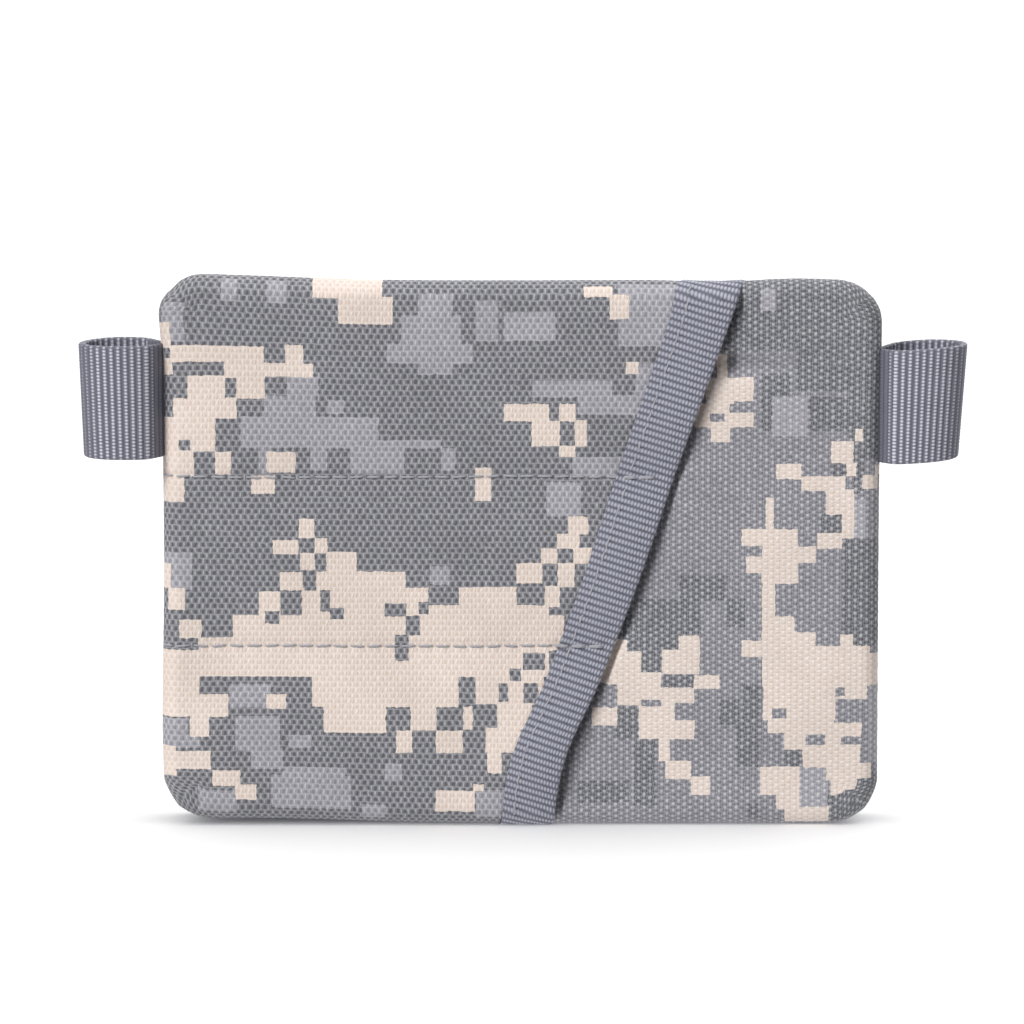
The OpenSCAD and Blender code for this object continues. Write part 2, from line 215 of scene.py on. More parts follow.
def slab_piece(name, face, back, places, *details):
    """Slab of cloth between two matching grids of points, with the same flat places on both."""
    return mesh_piece(name, *slab(face, back), np.concatenate([places, places]), *details)


def smooth(low, high, value):
    """0 below low, 1 above high, and an even turn between."""
    t = np.clip((value - low) / (high - low), 0, 1)
    return t * t * (3 - 2 * t)


def hill(value, middle, width):
    """1 at the middle, falling to 0 within about two widths."""
    return np.exp(-(((value - middle) / width) ** 2))


def ripple(u, v, seed, shortest, longest, waves=7):
    """Soft uneven waves over a surface, about -1 to 1."""
    rng = np.random.default_rng(seed)
    total = np.zeros(np.broadcast(u, v).shape)
    for _ in range(waves):
        length = rng.uniform(shortest, longest)
        heading = rng.uniform(0, PI)
        phase = rng.uniform(0, 2 * PI)
        total += np.sin(2 * PI * (u * math.cos(heading) + v * math.sin(heading)) / length + phase)
    return total / waves * 1.6


def rolled(a, b, leaf, lift=0.0):
    """Wraps flat places (a, b), measured from the leaf's middle, round its rolled edges.
    Returns the points, their normals and how far round the roll each one is, 0 to 1."""
    turn = leaf.corner - leaf.roll
    core_w = leaf.half_w - leaf.corner
    core_h = leaf.half_h - leaf.corner
    over_a = np.maximum(np.abs(a) - core_w, 0)
    over_b = np.maximum(np.abs(b) - core_h, 0)
    far = np.maximum(over_a, over_b)
    skew = PI / 4 * np.minimum(over_a, over_b) / np.maximum(far, 1e-9)
    bearing = np.where(over_a >= over_b, skew, PI / 2 - skew)
    angle = np.clip((far - turn) / leaf.roll, 0, PI)
    past = np.maximum(far - turn - PI * leaf.roll, 0)
    reach = np.where(far < turn, far, turn + leaf.roll * np.sin(angle) - past)
    side_a, side_b = np.sign(a), np.sign(b)
    out_a, out_b = np.cos(bearing) * side_a, np.sin(bearing) * side_b
    base = stacked(
        leaf.mid_x + side_a * np.minimum(np.abs(a), core_w) + reach * out_a,
        leaf.mid_y - leaf.roll * np.cos(angle),
        leaf.mid_z + side_b * np.minimum(np.abs(b), core_h) + reach * out_b,
    )
    normal = stacked(np.sin(angle) * out_a, -np.cos(angle), np.sin(angle) * out_b)
    return base + normal * np.asarray(lift)[..., None], normal, angle / PI


def flat_steps(half, leaf, step, hem, roll_steps=12, wrap=PI):
    """Flat places from one hem to the other: even steps on the face and finer ones round the roll,
    which is followed as far as the angle wrap."""
    turn = leaf.corner - leaf.roll
    core = half - leaf.corner
    edge = core + turn
    behind = edge + leaf.roll * wrap
    places = [
        np.linspace(0, core, math.ceil(core / step) + 1),
        np.linspace(core, edge, max(2, math.ceil(turn / step)) + 1)[1:],
        np.linspace(edge, behind, roll_steps + 1)[1:],
    ]
    if hem:
        places.append(np.linspace(behind, behind + hem, max(1, math.ceil(hem / step / 2)) + 1)[1:])
    places = np.concatenate(places)
    return np.concatenate([-places[:0:-1], places])


def rolled_grid(leaf, step, hem, roll_steps=12, wrap=PI):
    """Flat places over a whole leaf, hem to hem."""
    a = flat_steps(leaf.half_w, leaf, step, hem, roll_steps, wrap)
    b = flat_steps(leaf.half_h, leaf, step, hem, roll_steps, wrap)
    return np.meshgrid(a, b)


def pillow(points):
    """Closed shape out of a grid that wraps a leaf, its open back closed with one flat face."""
    rows, columns = points.shape[:2]
    cap = rim_of(rows, columns)[::-1][None]
    return points.reshape(-1, 3), [grid_quads(rows, columns), cap]


def cloth_places(a, b, leaf):
    """Flat places for the material of a cloth whose yarns are not modelled."""
    return stacked(a + leaf.mid_x, b + leaf.mid_z, 0.0).reshape(-1, 3)


def inner_face(a, b, leaf, side, end):
    """1 on the inner face of a leaf, falling to 0 at its edges over borders of side and end."""
    across = smooth(leaf.half_w, leaf.half_w - side, np.abs(a))
    return across * smooth(leaf.half_h, leaf.half_h - end, np.abs(b))


# ---------------------------------------------------------------- material helpers


def srgb(red, green, blue):
    """Linear colour out of 0 to 255 screen values."""
    channels = [value / 255 for value in (red, green, blue)]
    linear = [c / 12.92 if c < 0.04045 else ((c + 0.055) / 1.055) ** 2.4 for c in channels]
    return (*linear, 1)


class Nodes:
    """A material under construction: each method adds one node and returns its output."""

    def __init__(self, name, roughness=0.8, metallic=0.0, **sockets):
        self.material = bpy.data.materials.new(name)
        self.material.use_nodes = True
        self.tree = self.material.node_tree
        self.shader = self.tree.nodes["Principled BSDF"]
        self.shader.inputs["Roughness"].default_value = roughness
        self.shader.inputs["Metallic"].default_value = metallic
        for socket, value in sockets.items():
            self.shader.inputs[socket.replace("_", " ")].default_value = value

    def add(self, kind, inputs, output=0, **settings):
        node = self.tree.nodes.new(kind)
        for key, value in settings.items():
            setattr(node, key, value)
        for socket, value in inputs.items():
            if value is None:
                continue
            if isinstance(value, bpy.types.NodeSocket):
                self.tree.links.new(value, node.inputs[socket])
            else:
                node.inputs[socket].default_value = value
        return node.outputs[output]

    def math(self, operation, first, second=None, third=None):
        return self.add("ShaderNodeMath", {0: first, 1: second, 2: third}, operation=operation)

    def place(self):
        """The piece's own flat places: along the cloth, up the cloth and the yarn's height."""
        cloth = self.add("ShaderNodeAttribute", {}, 1, attribute_name="cloth")
        split = self.tree.nodes.new("ShaderNodeSeparateXYZ")
        self.tree.links.new(cloth, split.inputs[0])
        return split.outputs[0], split.outputs[1], split.outputs[2]

    def where(self):
        """Place in the piece's own space, in metres."""
        return self.add("ShaderNodeTexCoord", {}, 3)

    def join(self, x, y, z=0.0):
        return self.add("ShaderNodeCombineXYZ", {0: x, 1: y, 2: z})

    def noise(self, vector, scale, detail=2.0):
        return self.add("ShaderNodeTexNoise", {"Vector": vector, "Scale": scale, "Detail": detail})

    def ramp(self, value, low, high, to_low=0.0, to_high=1.0):
        inputs = {0: value, 1: low, 2: high, 3: to_low, 4: to_high}
        return self.add("ShaderNodeMapRange", inputs, clamp=True)

    def uneven(self, vector, scale, low, high, detail=2.0):
        """Noise that wanders between low and high."""
        return self.ramp(self.noise(vector, scale, detail), 0.3, 0.7, low, high)

    def mix(self, factor, first, second, blend="MIX"):
        inputs = {0: factor, 6: first, 7: second}
        return self.add("ShaderNodeMix", inputs, 2, data_type="RGBA", blend_type=blend)

    def tinted(self, colour, tone):
        """The colour times a tone."""
        return self.mix(1.0, colour, self.join(tone, tone, tone), "MULTIPLY")

    def wave(self, value, pitch):
        """Sine with one full turn for each two pitches, so that neighbouring yarns differ in sign."""
        return self.math("SINE", self.math("MULTIPLY", value, PI / pitch))

    def finish(self, colour, height=None, strength=0.5, distance=0.0002):
        self.tree.links.new(colour, self.shader.inputs["Base Color"])
        if height is not None:
            inputs = {"Height": height, "Strength": strength, "Distance": distance}
            bump = self.add("ShaderNodeBump", inputs)
            self.tree.links.new(bump, self.shader.inputs["Normal"])
        return self.material


# ---------------------------------------------------------------- camouflage cloth

DARK = srgb(110, 110, 115)
# Dark ink of the shell's print, which also paints shade along the shell's right edge
SHELL_INK_AND_SHADE = srgb(90, 91, 96)
SLATE_DEEP = srgb(120, 119, 126)
SLATE = srgb(152, 150, 157)
CREAM = srgb(226, 209, 197)
# Colour of the painted highlight on the pocket cloth's raised crossings
WEAVE_HIGHLIGHT = srgb(150, 150, 155)

# Blocks of print in millimetres: left, right, low and high, from the middle of the lower edge. Later lists
# are printed over earlier ones.
POCKET_SLATE = (
    (-49, -25, 66, 71.5), (-45, -36, 71, 75), (-41, -35.5, 75, 78.5), (-34, -31, 72, 74.5),
    (-46, -44, 61.5, 66), (-37, -34, 62, 66), (-30, -20.5, 61.5, 67.5), (-14, -11.5, 62, 66),
    (-24.5, -14, 66, 67.5), (-44.5, -41, 91, 95), (-52, -49.5, 91, 95), (-62, -58, 84, 91),
    (-21, -10.5, 84, 89.5), (-18, -12, 79, 93), (-23.5, -8.5, 81, 84.5), (-3, 6, 85, 90),
    (-8, -4, 85, 92), (2, 16, 75, 78), (10, 24, 72, 75.5), (17, 28, 84, 95), (20, 24, 74, 81),
    (9, 18, 61, 64.5), (4.5, 10.5, 54, 60), (-64, -58, 12.5, 18), (-60, -56, 12.5, 15),
    (-51, -44, 20, 24.2), (-50, -42.5, 12, 18.4), (-47.5, -42, 8.5, 12.4), (-42, -31, 5.5, 9),
    (-44, -30, 1.5, 7.5), (-41, -37, 12.5, 15), (-24, -21, 7, 10), (-57, -50, 0.5, 4.5),
    (-16, -12.5, 42, 45.2), (-64, -57.5, 41, 47.5), (-8, 0, 0.5, 5.5), (-28, -24, 0, 2.5),
)
POCKET_CREAM = (
    (-36.5, -24.3, 92.2, 97), (-32, -22.5, 87.8, 92.6), (-64, -60.4, 78.5, 87),
    (-60.4, -45, 80.7, 83.4), (-51.8, -36.4, 78.3, 80.7), (-41.3, -38.2, 80.6, 83.8),
    (-58, -44.8, 74.5, 78.4), (-60.4, -49.7, 71.1, 74.6), (-64, -53.3, 65.4, 71.3),
    (-64, -57, 61, 65.5), (-53.4, -50.7, 61.4, 65.4), (-64, -58.7, 56.5, 61),
    (-44.6, -39.6, 61.7, 65.3), (-47.2, -43.2, 58, 61.2), (-8.1, -5.2, 56.7, 62.6),
    (-3, 4.9, 70.8, 73.9), (1.9, 6.8, 66.4, 70.9), (6.7, 9.6, 70.8, 73.9), (9.4, 11.6, 66.4, 71),
    (6.7, 9.6, 64.5, 66.5), (11, 16, 92.6, 94.5), (15.5, 18.9, 88.8, 92.9), (18.4, 20.6, 79.2, 81.3),
    (8.2, 11.8, 50.9, 54), (6.3, 10.3, 48.4, 51), (3.5, 6.4, 45.7, 48.4), (9.2, 12.4, 45.7, 48.5),
    (-0.8, 3.8, 42.2, 45.8), (6.5, 9.4, 41.6, 45.8), (4.2, 6.8, 38, 41.8), (-39, -36.3, 50.2, 53.6),
    (-43.6, -39.1, 47.4, 49.9), (-36.3, -34, 47.6, 50.2), (-38.8, -36.2, 44.6, 47.6),
    (-34.2, -28.9, 43.9, 47.8), (-42.4, -38.4, 41, 44.2), (-36.2, -20.3, 41, 44.3),
    (-46, -42.3, 36.2, 40.8), (-38.6, -16.3, 36, 41.4), (-50.5, 7.6, 32, 36.5), (-56.3, 7, 30.2, 32.5),
    (-10.9, -0.8, 36, 41.5), (-16.3, 5, 31, 38.3), (-59.6, -55.8, 32.4, 35.7), (-64, 5, 25.6, 30.3),
    (-61.8, -58.6, 37.4, 41.3), (-64, -61.2, 41.2, 45.5), (-64, -56, 22, 26), (-64, -51.2, 18.3, 22.4),
    (-57.6, -54.4, 14.6, 18.4), (-44.8, -41.4, 19.8, 22.4), (-36.8, -11, 20.2, 26),
    (-34.8, -23.8, 15.5, 20.4), (-19.5, -14.9, 16, 20.4), (-22, -19.2, 12, 16), (-15, -10.3, 12, 16),
    (-10.2, -8.5, 16.2, 20.4), (-8, 4, 20.8, 26), (-4.2, 2, 16.4, 21), (-6.2, 0, 12.2, 16.6),
    (-5.9, -3.4, 8.5, 12.4), (-64, -60, 7, 12.9), (-60.2, -54.2, 8.5, 11.9), (-54, -49.3, 5.3, 8.3),
    (-50.2, -46.6, 2.8, 5.6), (-15.1, -8.2, 1.6, 5.3), (-8.4, -6.5, 5.2, 6.5),
)
POCKET_HOLES = (
    (-51.6, -49.7, 74.7, 78), (-59.6, -57.6, 65.6, 67.4), (-62.2, -60.7, 81.3, 83),
    (-38.2, -36, 41, 44.5), (-35.3, -33.6, 37.2, 41), (-33.6, -31.2, 35.8, 37.8),
    (-24, -20.2, 36.3, 38.6), (-18, -16.2, 36.7, 38.9), (-45, -42.5, 35, 37.3),
    (-20.3, -17.8, 32.9, 36.4), (-22.2, -19.8, 28.4, 33), (0.3, 4.2, 26.8, 29.8),
    (-3.9, -2.3, 21.2, 24.5), (-2, 0, 24.8, 27), (-11, -8, 20.3, 24), (0.5, 3, 21, 24.5),
)
# The long dark blocks down the right edge, from x 56 outward, are partly print and partly painted shade of
# the rolled edge, which turns away from the light
SHELL_DARK_AND_EDGE_SHADE = (
    (34, 64, 83, 98), (57, 64, 64, 98), (48, 57, 76, 83), (50, 60, 69, 75), (42, 47, 69, 79),
    (28, 36.3, 39, 43.6), (21, 31.6, 33, 39.3), (18, 27.6, 30, 37), (20.7, 24.8, 26.2, 30),
    (36.3, 39.5, 34.2, 39.4), (35, 38.6, 17, 21.5), (38, 42.2, 9.5, 17), (39, 42.2, 17, 24),
    (46.5, 49.4, 9.5, 13), (16.5, 20.8, 14.4, 20), (20, 24, 2.4, 14.2), (10, 19, 3, 7),
    (56, 64, 31, 50), (53.8, 64, -1, 4.4), (58.5, 64, 3.5, 8.2), (25.2, 30.5, 23.5, 25.8),
    (52.4, 56, 51, 54.2), (54, 57, 61, 63.4), (57.8, 59.6, 58, 66), (40, 42, 0, 3),
)
SHELL_SLATE = (
    (42, 44.5, 90, 94), (44, 50, 68, 75), (60.6, 64, 10, 24), (49, 53.8, 2, 9.3), (57, 60, 50, 57),
)
SHELL_CREAM = (
    (32.5, 40.8, 73.8, 78.5), (30.5, 36.6, 69.7, 73.9), (36, 40.8, 69.7, 72.3), (33.3, 36.7, 67.1, 69.8),
    (34.4, 36.2, 78.5, 82.5), (44.8, 49, 60.5, 63.2), (49, 56.5, 58.4, 61), (53.2, 58, 54.2, 58.7),
    (55.9, 58, 50, 54.3), (51.8, 56, 48.2, 51), (54, 57.8, 63.3, 67.2), (58, 59.3, 67.2, 69.4),
    (56.6, 58.3, 61, 63.3), (59.4, 62.6, 58.8, 61.2), (61.8, 64, 61.2, 63), (43, 44.4, 51.5, 57.2),
    (38.8, 48.5, 48.7, 51.7), (42.3, 48.6, 42, 48.9), (48.5, 51.6, 45.7, 48.6), (39.6, 42.4, 43.9, 46.8),
    (42.4, 44.7, 35.8, 42.2), (42.4, 48, 32.8, 36.2), (42.4, 51.6, 30.8, 33.4), (38.9, 42.5, 29, 31.9),
    (42.5, 61, 23.8, 31), (60.8, 64, 24, 29.6), (42.7, 55, 17.8, 24), (54.8, 60.4, 21.5, 24),
    (55.8, 58, 30.8, 33), (43.5, 54.8, 15.5, 18), (46.3, 56, 12.5, 15.7), (49.5, 59.3, 9.3, 13.4),
    (54.6, 59.5, 14.8, 17.3), (53.5, 61.4, 7, 10), (54.3, 58.8, 4.2, 7.3), (42.2, 49, 4.4, 9.5),
    (45, 49, 1.9, 4.6), (46.5, 54, -1, 2.3), (15.3, 18.7, 28.5, 32), (14, 21.2, 24.2, 30),
    (17, 24.7, 20.4, 26.3), (24.9, 31.5, 26, 30.3), (27.8, 31.5, 30, 32.8), (30.5, 35, 23.4, 25.8),
    (24.5, 30.6, 20.8, 23.6), (12.5, 17, 16.8, 20), (20.8, 27.2, 17.6, 20.9), (20.8, 30.6, 14.4, 17.8),
    (24.3, 26.3, 10.4, 14.6), (25.5, 30, 7.2, 10.5), (30, 33.4, 4.4, 7.7),
)
SHELL_HOLES = (
    (37.3, 40.9, 72.4, 74.3), (33.2, 35.7, 70.7, 72.2), (21.2, 24.8, 20.2, 21.4), (27.3, 30.6, 18, 20.9),
    (44.2, 46.7, 18.1, 19.9), (50, 53.3, 13.3, 15.2), (55, 56.6, 22, 23.6), (39.6, 42.4, 46.8, 48.6),
)
# The print starts a little above the edge that the wallet stands on
PRINT_RISE = 1.0
# How far a yarn strays to either side
YARN_WAVER = 0.24

# A weave: its yarns' pitches, which crossings are light, the wave whose lines are light, where in that
# wave they lie and how light they are, the colour of the painted highlight on the raised crossings and how
# deep the painted shade in the hollows is
Weave = namedtuple("Weave", "pitch_u pitch_v light_sign line_wave line_reach line_light bare hollow")


def blocks_mask(nodes, u, v, blocks):
    """1 inside any of the blocks."""
    total = 0.0
    for left, right, low, high in blocks:
        across = nodes.math("COMPARE", u, (left + right) / 2, (right - left) / 2)
        up = nodes.math("COMPARE", v, (low + high) / 2, (high - low) / 2)
        total = nodes.math("MULTIPLY_ADD", across, up, total)
    return nodes.math("MINIMUM", total, 1.0)


def printed(nodes, u, v, ground, layers):
    """Ground colour with each layer, a colour and its blocks, printed over the ones before."""
    for colour, blocks in layers:
        ground = nodes.mix(blocks_mask(nodes, u, v, blocks), ground, colour)
    return ground


def camo_cloth(name, look, ground, layers, seed):
    """Coated plain weave with a print: every second crossing of the yarns stands out as a light dash of
    painted highlight, the crossings between are hollows with painted shade, and a faint light net runs
    round them."""
    nodes = Nodes(name, roughness=0.7, Sheen_Weight=0.08, Sheen_Roughness=0.5)
    u, v, _ = nodes.place()
    drift = nodes.noise(nodes.join(u, v), 0.9, detail=1.0)
    waver = nodes.ramp(drift, 0, 1, -YARN_WAVER, YARN_WAVER)
    u_yarn = nodes.math("ADD", u, waver)
    v_yarn = nodes.math("ADD", v, waver)
    colour = printed(nodes, u_yarn, nodes.math("ADD", v_yarn, -PRINT_RISE), ground, layers)
    waves = {"u": nodes.wave(u_yarn, look.pitch_u), "v": nodes.wave(v_yarn, look.pitch_v)}
    sizes = {key: nodes.math("ABSOLUTE", wave) for key, wave in waves.items()}
    weave = nodes.math("MULTIPLY", waves["u"], nodes.math("MULTIPLY", waves["v"], look.light_sign))
    narrow_u = nodes.math("MULTIPLY", sizes["u"], sizes["u"])
    broad_v = nodes.math("SUBTRACT", 2.0, sizes["v"])
    shaped = nodes.math("MULTIPLY", nodes.math("MULTIPLY", weave, narrow_u), broad_v)
    dash = nodes.ramp(shaped, 0.08, 0.6)
    line = nodes.ramp(sizes[look.line_wave], *look.line_reach, 0.0, look.line_light)
    net = nodes.ramp(nodes.math("ABSOLUTE", weave), 0.0, 0.3, 0.4, 0.0)
    light = nodes.math("MAXIMUM", dash, nodes.math("MAXIMUM", net, line))
    fibre = nodes.uneven(nodes.join(u, v, seed), 1.7, 0.5, 1.3)
    share = nodes.math("MULTIPLY", light, fibre)
    # Painted highlight on the raised crossings, and painted shade in the hollows between them
    bare = nodes.mix(1.0, colour, look.bare, "SCREEN")
    hollow = nodes.ramp(nodes.math("MULTIPLY", weave, -1.0), 0.1, 0.7)
    hollow_shade_colour = (look.hollow,) * 3 + (1,)
    woven = nodes.mix(hollow, nodes.mix(share, colour, bare), hollow_shade_colour, "SUBTRACT")
    cloud = nodes.uneven(nodes.join(u, v, seed), 0.09, 0.94, 1.06, detail=3.0)
    height = nodes.math("MULTIPLY_ADD", share, 0.6, nodes.math("ABSOLUTE", weave))
    return nodes.finish(nodes.tinted(woven, cloud), height, 0.55, 0.00012)


# ---------------------------------------------------------------- other materials


def ribbed_cloth(name, valley_shade, yarn, tip, highlight_from=0.62):
    """Ribbed tape or webbing: by the yarn's height on the mesh it paints shade into the valleys and a
    highlight onto the tips.
    """
    nodes = Nodes(name, roughness=0.62, Sheen_Weight=0.15, Sheen_Roughness=0.4)
    u, v, height = nodes.place()
    # Painted shade in the valleys and a painted highlight on the tips, by the yarn's height
    body = nodes.mix(nodes.ramp(height, 0.05, 0.45), valley_shade, yarn)
    lit = nodes.mix(nodes.ramp(height, highlight_from, 0.97), body, tip)
    fibre = nodes.noise(nodes.join(nodes.math("MULTIPLY", u, 3.0), v), 4.0)
    tone = nodes.ramp(fibre, 0.3, 0.7, 0.86, 1.12)
    return nodes.finish(nodes.tinted(lit, tone), fibre, 0.25, 0.00008)


def plain_cloth(name, colour, light, pitch_u, pitch_v):
    """Fine plain weave with uneven yarns."""
    nodes = Nodes(name, roughness=0.8, Sheen_Weight=0.1, Sheen_Roughness=0.5)
    u, v, _ = nodes.place()
    weave = nodes.math("MULTIPLY", nodes.wave(u, pitch_u), nodes.wave(v, pitch_v))
    yarns = nodes.uneven(nodes.join(u, nodes.math("MULTIPLY", v, 0.3)), 1.6, 0.5, 1.0)
    share = nodes.math("MULTIPLY", nodes.ramp(weave, -0.3, 0.8), yarns)
    return nodes.finish(nodes.mix(share, colour, light), nodes.math("ABSOLUTE", weave), 0.5, 0.0001)


def thread_material(name, colour, light):
    """Twisted thread: fine slanting lines along its length."""
    nodes = Nodes(name, roughness=0.55, Sheen_Weight=0.2)
    u, v, _ = nodes.place()
    strand = nodes.wave(nodes.math("MULTIPLY_ADD", v, 0.6, u), 0.12)
    fibre = nodes.uneven(nodes.join(u, v), 5.0, 0.5, 1.0)
    share = nodes.math("MULTIPLY", nodes.ramp(strand, -1, 1), fibre)
    return nodes.finish(nodes.mix(share, colour, light), strand, 0.3, 0.00005)


def metal_material(name, colour, worn):
    """Painted zinc alloy, rubbed a little lighter in places."""
    nodes = Nodes(name, roughness=0.38, metallic=0.85)
    where = nodes.where()
    patches = nodes.noise(where, 900.0, detail=4.0)
    rough = nodes.ramp(nodes.noise(where, 4000.0), 0.2, 0.8, 0.28, 0.5)
    nodes.tree.links.new(rough, nodes.shader.inputs["Roughness"])
    share = nodes.ramp(patches, 0.52, 0.72)
    return nodes.finish(nodes.mix(share, colour, worn), patches, 0.1, 0.00005)


def film_material(name):
    """Clear vinyl with faint clouds."""
    nodes = Nodes(name, roughness=0.12, Transmission_Weight=0.92, IOR=1.5)
    where = nodes.where()
    colour = nodes.mix(nodes.noise(where, 60.0), srgb(225, 232, 236), srgb(246, 248, 250))
    return nodes.finish(colour, nodes.noise(where, 120.0), 0.15, 0.0003)


def board_material(name, colour, light):
    """Fibre board, pile or nylon with a fine speckle."""
    nodes = Nodes(name, roughness=0.9)
    speckle = nodes.noise(nodes.where(), 2500.0, detail=3.0)
    return nodes.finish(nodes.mix(speckle, colour, light), speckle, 0.3, 0.0001)


# Each weave ends with the colour of its painted highlight and the depth of its painted shade
pocket_weave = Weave(pitch_u=0.65, pitch_v=0.99, light_sign=-1.0, line_wave="v",
                     line_reach=(0.55, 0.0), line_light=0.75, bare=WEAVE_HIGHLIGHT, hollow=0.062)
shell_weave = Weave(pitch_u=1.014, pitch_v=0.577, light_sign=1.0, line_wave="u",
                    line_reach=(0.5, 1.0), line_light=0.5, bare=srgb(176, 176, 181), hollow=0.085)

pocket_camo = camo_cloth("pocket_camo", pocket_weave, DARK, (
    (SLATE, POCKET_SLATE), (CREAM, POCKET_CREAM), (DARK, POCKET_HOLES)), 1.0)
shell_camo = camo_cloth("shell_camo", shell_weave, SLATE_DEEP, (
    (SHELL_INK_AND_SHADE, SHELL_DARK_AND_EDGE_SHADE), (SLATE, SHELL_SLATE), (CREAM, SHELL_CREAM),
    (SLATE_DEEP, SHELL_HOLES)), 5.0)
rear_camo = camo_cloth("rear_camo", shell_weave, DARK, (
    (SLATE, POCKET_SLATE), (CREAM, POCKET_CREAM), (DARK, POCKET_HOLES + SHELL_DARK_AND_EDGE_SHADE),
    (SLATE, SHELL_SLATE), (CREAM, SHELL_CREAM), (DARK, SHELL_HOLES)), 9.0)
# Each ribbed cloth: its valleys' painted shade, its yarn colour and its tips' painted highlight
tape_cloth = ribbed_cloth("tape_cloth", srgb(40, 41, 50), srgb(102, 103, 116), srgb(180, 182, 196))
webbing_cloth = ribbed_cloth("webbing_cloth", srgb(56, 55, 67), srgb(106, 106, 119),
                             srgb(214, 215, 227), highlight_from=0.7)
lining_cloth = plain_cloth("lining_cloth", srgb(88, 88, 92), srgb(116, 116, 120), 0.35, 0.35)
thread = thread_material("thread", srgb(134, 134, 141), srgb(192, 192, 199))
dark_thread = thread_material("dark_thread", srgb(62, 62, 65), srgb(96, 96, 100))
zip_tape_cloth = plain_cloth("zip_tape_cloth", srgb(44, 44, 47), srgb(66, 66, 70), 0.5, 0.25)
coil_nylon = board_material("coil_nylon", srgb(38, 38, 41), srgb(56, 56, 60))
zip_metal = metal_material("zip_metal", srgb(58, 58, 62), srgb(82, 82, 87))
loop_pile = board_material("loop_pile", srgb(46, 46, 49), srgb(74, 74, 79))
hook_nylon = board_material("hook_nylon", srgb(36, 36, 38), srgb(58, 58, 62))
film = film_material("clear_film")
board_stuff = board_material("board_stuff", srgb(176, 172, 162), srgb(196, 192, 182))

# ---------------------------------------------------------------- front leaf


def mouth_bow(z):
    """How far the mouth strays from its straight line at height z."""
    return 0.35 * hill(z, 44, 16) - 1.45 * hill(z, 13.5, 9) + hill(z, -1, 5)


def mouth_x(z):
    """Place of the slanted pocket mouth at height z."""
    return MOUTH_BOTTOM_X + z * math.tan(TILT) + mouth_bow(z)


# Each hill in the next functions is one swell or dip of the leaf: its place and width on the face,
# and how many millimetres it adds, as the photo's outline and shading show it


def leaf_sway(x, z):
    """Slow unevenness of the stuffed leaf, along X and Z, strongest at its outline."""
    high = smooth(60, 96, z)
    low = 1 - smooth(0, 30, z)
    crown = 0.75 * hill(x, -50, 16) - 0.1 * hill(x, -6, 24) - 0.35 * hill(x, 34, 7)
    rise = high * (crown + 0.3 * hill(x, 48, 7) - 0.3 * hill(x, 62, 9))
    rise = rise + low * (0.85 * hill(x, -48, 24) + 0.12 * ripple(x, z, 4, 25, 60))
    spread = smooth(40, 63, x) * (0.62 + 0.25 * hill(z, 84, 16))
    spread = spread - smooth(-40, -63, x) * (0.5 * hill(z, 70, 30) + 0.85 * hill(z, 18, 22))
    rise = rise + 1.1 * hill(z, 3, 5) * (hill(x, 62, 5) + hill(x, -62, 6))
    left_corner = hill(x, -60, 8) * hill(z, 92, 8)
    right_corner = hill(x, 60, 8) * hill(z, 92, 8)
    spread = spread - 1.1 * left_corner + 0.15 * right_corner
    return spread, rise + 0.9 * left_corner + 0.4 * right_corner


def leaf_swell(x, z):
    """Height of the leaf's own face over its flat place, where the foam and the lining give."""
    inner = smooth(63, 50, np.abs(x)) * smooth(0, 14, z) * smooth(96, 82, z)
    crest = hill(z, 88.5, 5) * hill(x, 46, 9)
    return inner * (0.35 * ripple(x, z, 11, 26, 60) + 0.5 * crest)


def leaf_hollows(x, z):
    """Depth of the shell's hollows: a groove beside the slot pocket's mouth, and a dent that runs
    from a deep pit at the mouth towards the side."""
    inner = smooth(0, 5, z) * smooth(96, 90, z)
    dent_line = 81.6 - 0.12 * (x - 38)
    dent = hill(z, dent_line, 1.9) * smooth(32, 35, x) * (1 - smooth(38, 56, x))
    pit = hill(x, 36.3, 1.3) * hill(z, 83.0, 1.3)
    past_mouth = x - mouth_x(z)
    groove = smooth(-1.2, 0.0, past_mouth) * smooth(2.2, 0.9, past_mouth)
    return inner * (1.3 * dent + 2.2 * pit + 1.9 * groove)


def yarn_nap(x, z, seed, height=0.035):
    """Fine unevenness of the yarns, about one yarn wide."""
    return height * ripple(x, z, seed, 1.9, 3.6, waves=9)


def shaped_front(a, b, lift):
    """Points, normals and turn of the front leaf at flat places, with its slow unevenness."""
    points, normal, turned = rolled(a, b, front, lift)
    spread, rise = leaf_sway(a, b + front.mid_z)
    points[..., 0] += spread
    behind = np.where(b > 0, smooth(0.5, 0.8, turned), 0)
    points[..., 2] = np.maximum(points[..., 2] + rise * (1 - behind) - TOP_SWELL * behind, 0)
    return points, normal, turned


# How much the shell gives way round the edges to the pocket cloth over it
POCKET_WRAP = 0.45


def shell_lift(a, b, turned):
    """The shell's face: pulled in along the edges that the pocket's cloth also wraps."""
    x, z = a, b + front.mid_z
    covered = smooth(0.5, -2.0, x - mouth_x(z))
    pulled_in = POCKET_WRAP * covered * smooth(0.0, 0.2, turned)
    return leaf_swell(x, z) - leaf_hollows(x, z) - pulled_in + yarn_nap(x, z, 21)


def front_shell():
    """Outer cloth of the padded front leaf, rolled round the foam and turned in behind."""
    a, b = rolled_grid(front, 0.45, 4.0)
    turned = rolled(a, b, front)[2]
    lift = shell_lift(a, b, turned) * (1 - smooth(0.8, 1.0, turned))
    shape = pillow(shaped_front(a, b, lift)[0])
    piece = mesh_piece("front_leaf_shell", *shape, cloth_places(a, b, front), shell_camo,
                       "front_leaf", "camo_cloth", ["front_shell", "front_foam"])


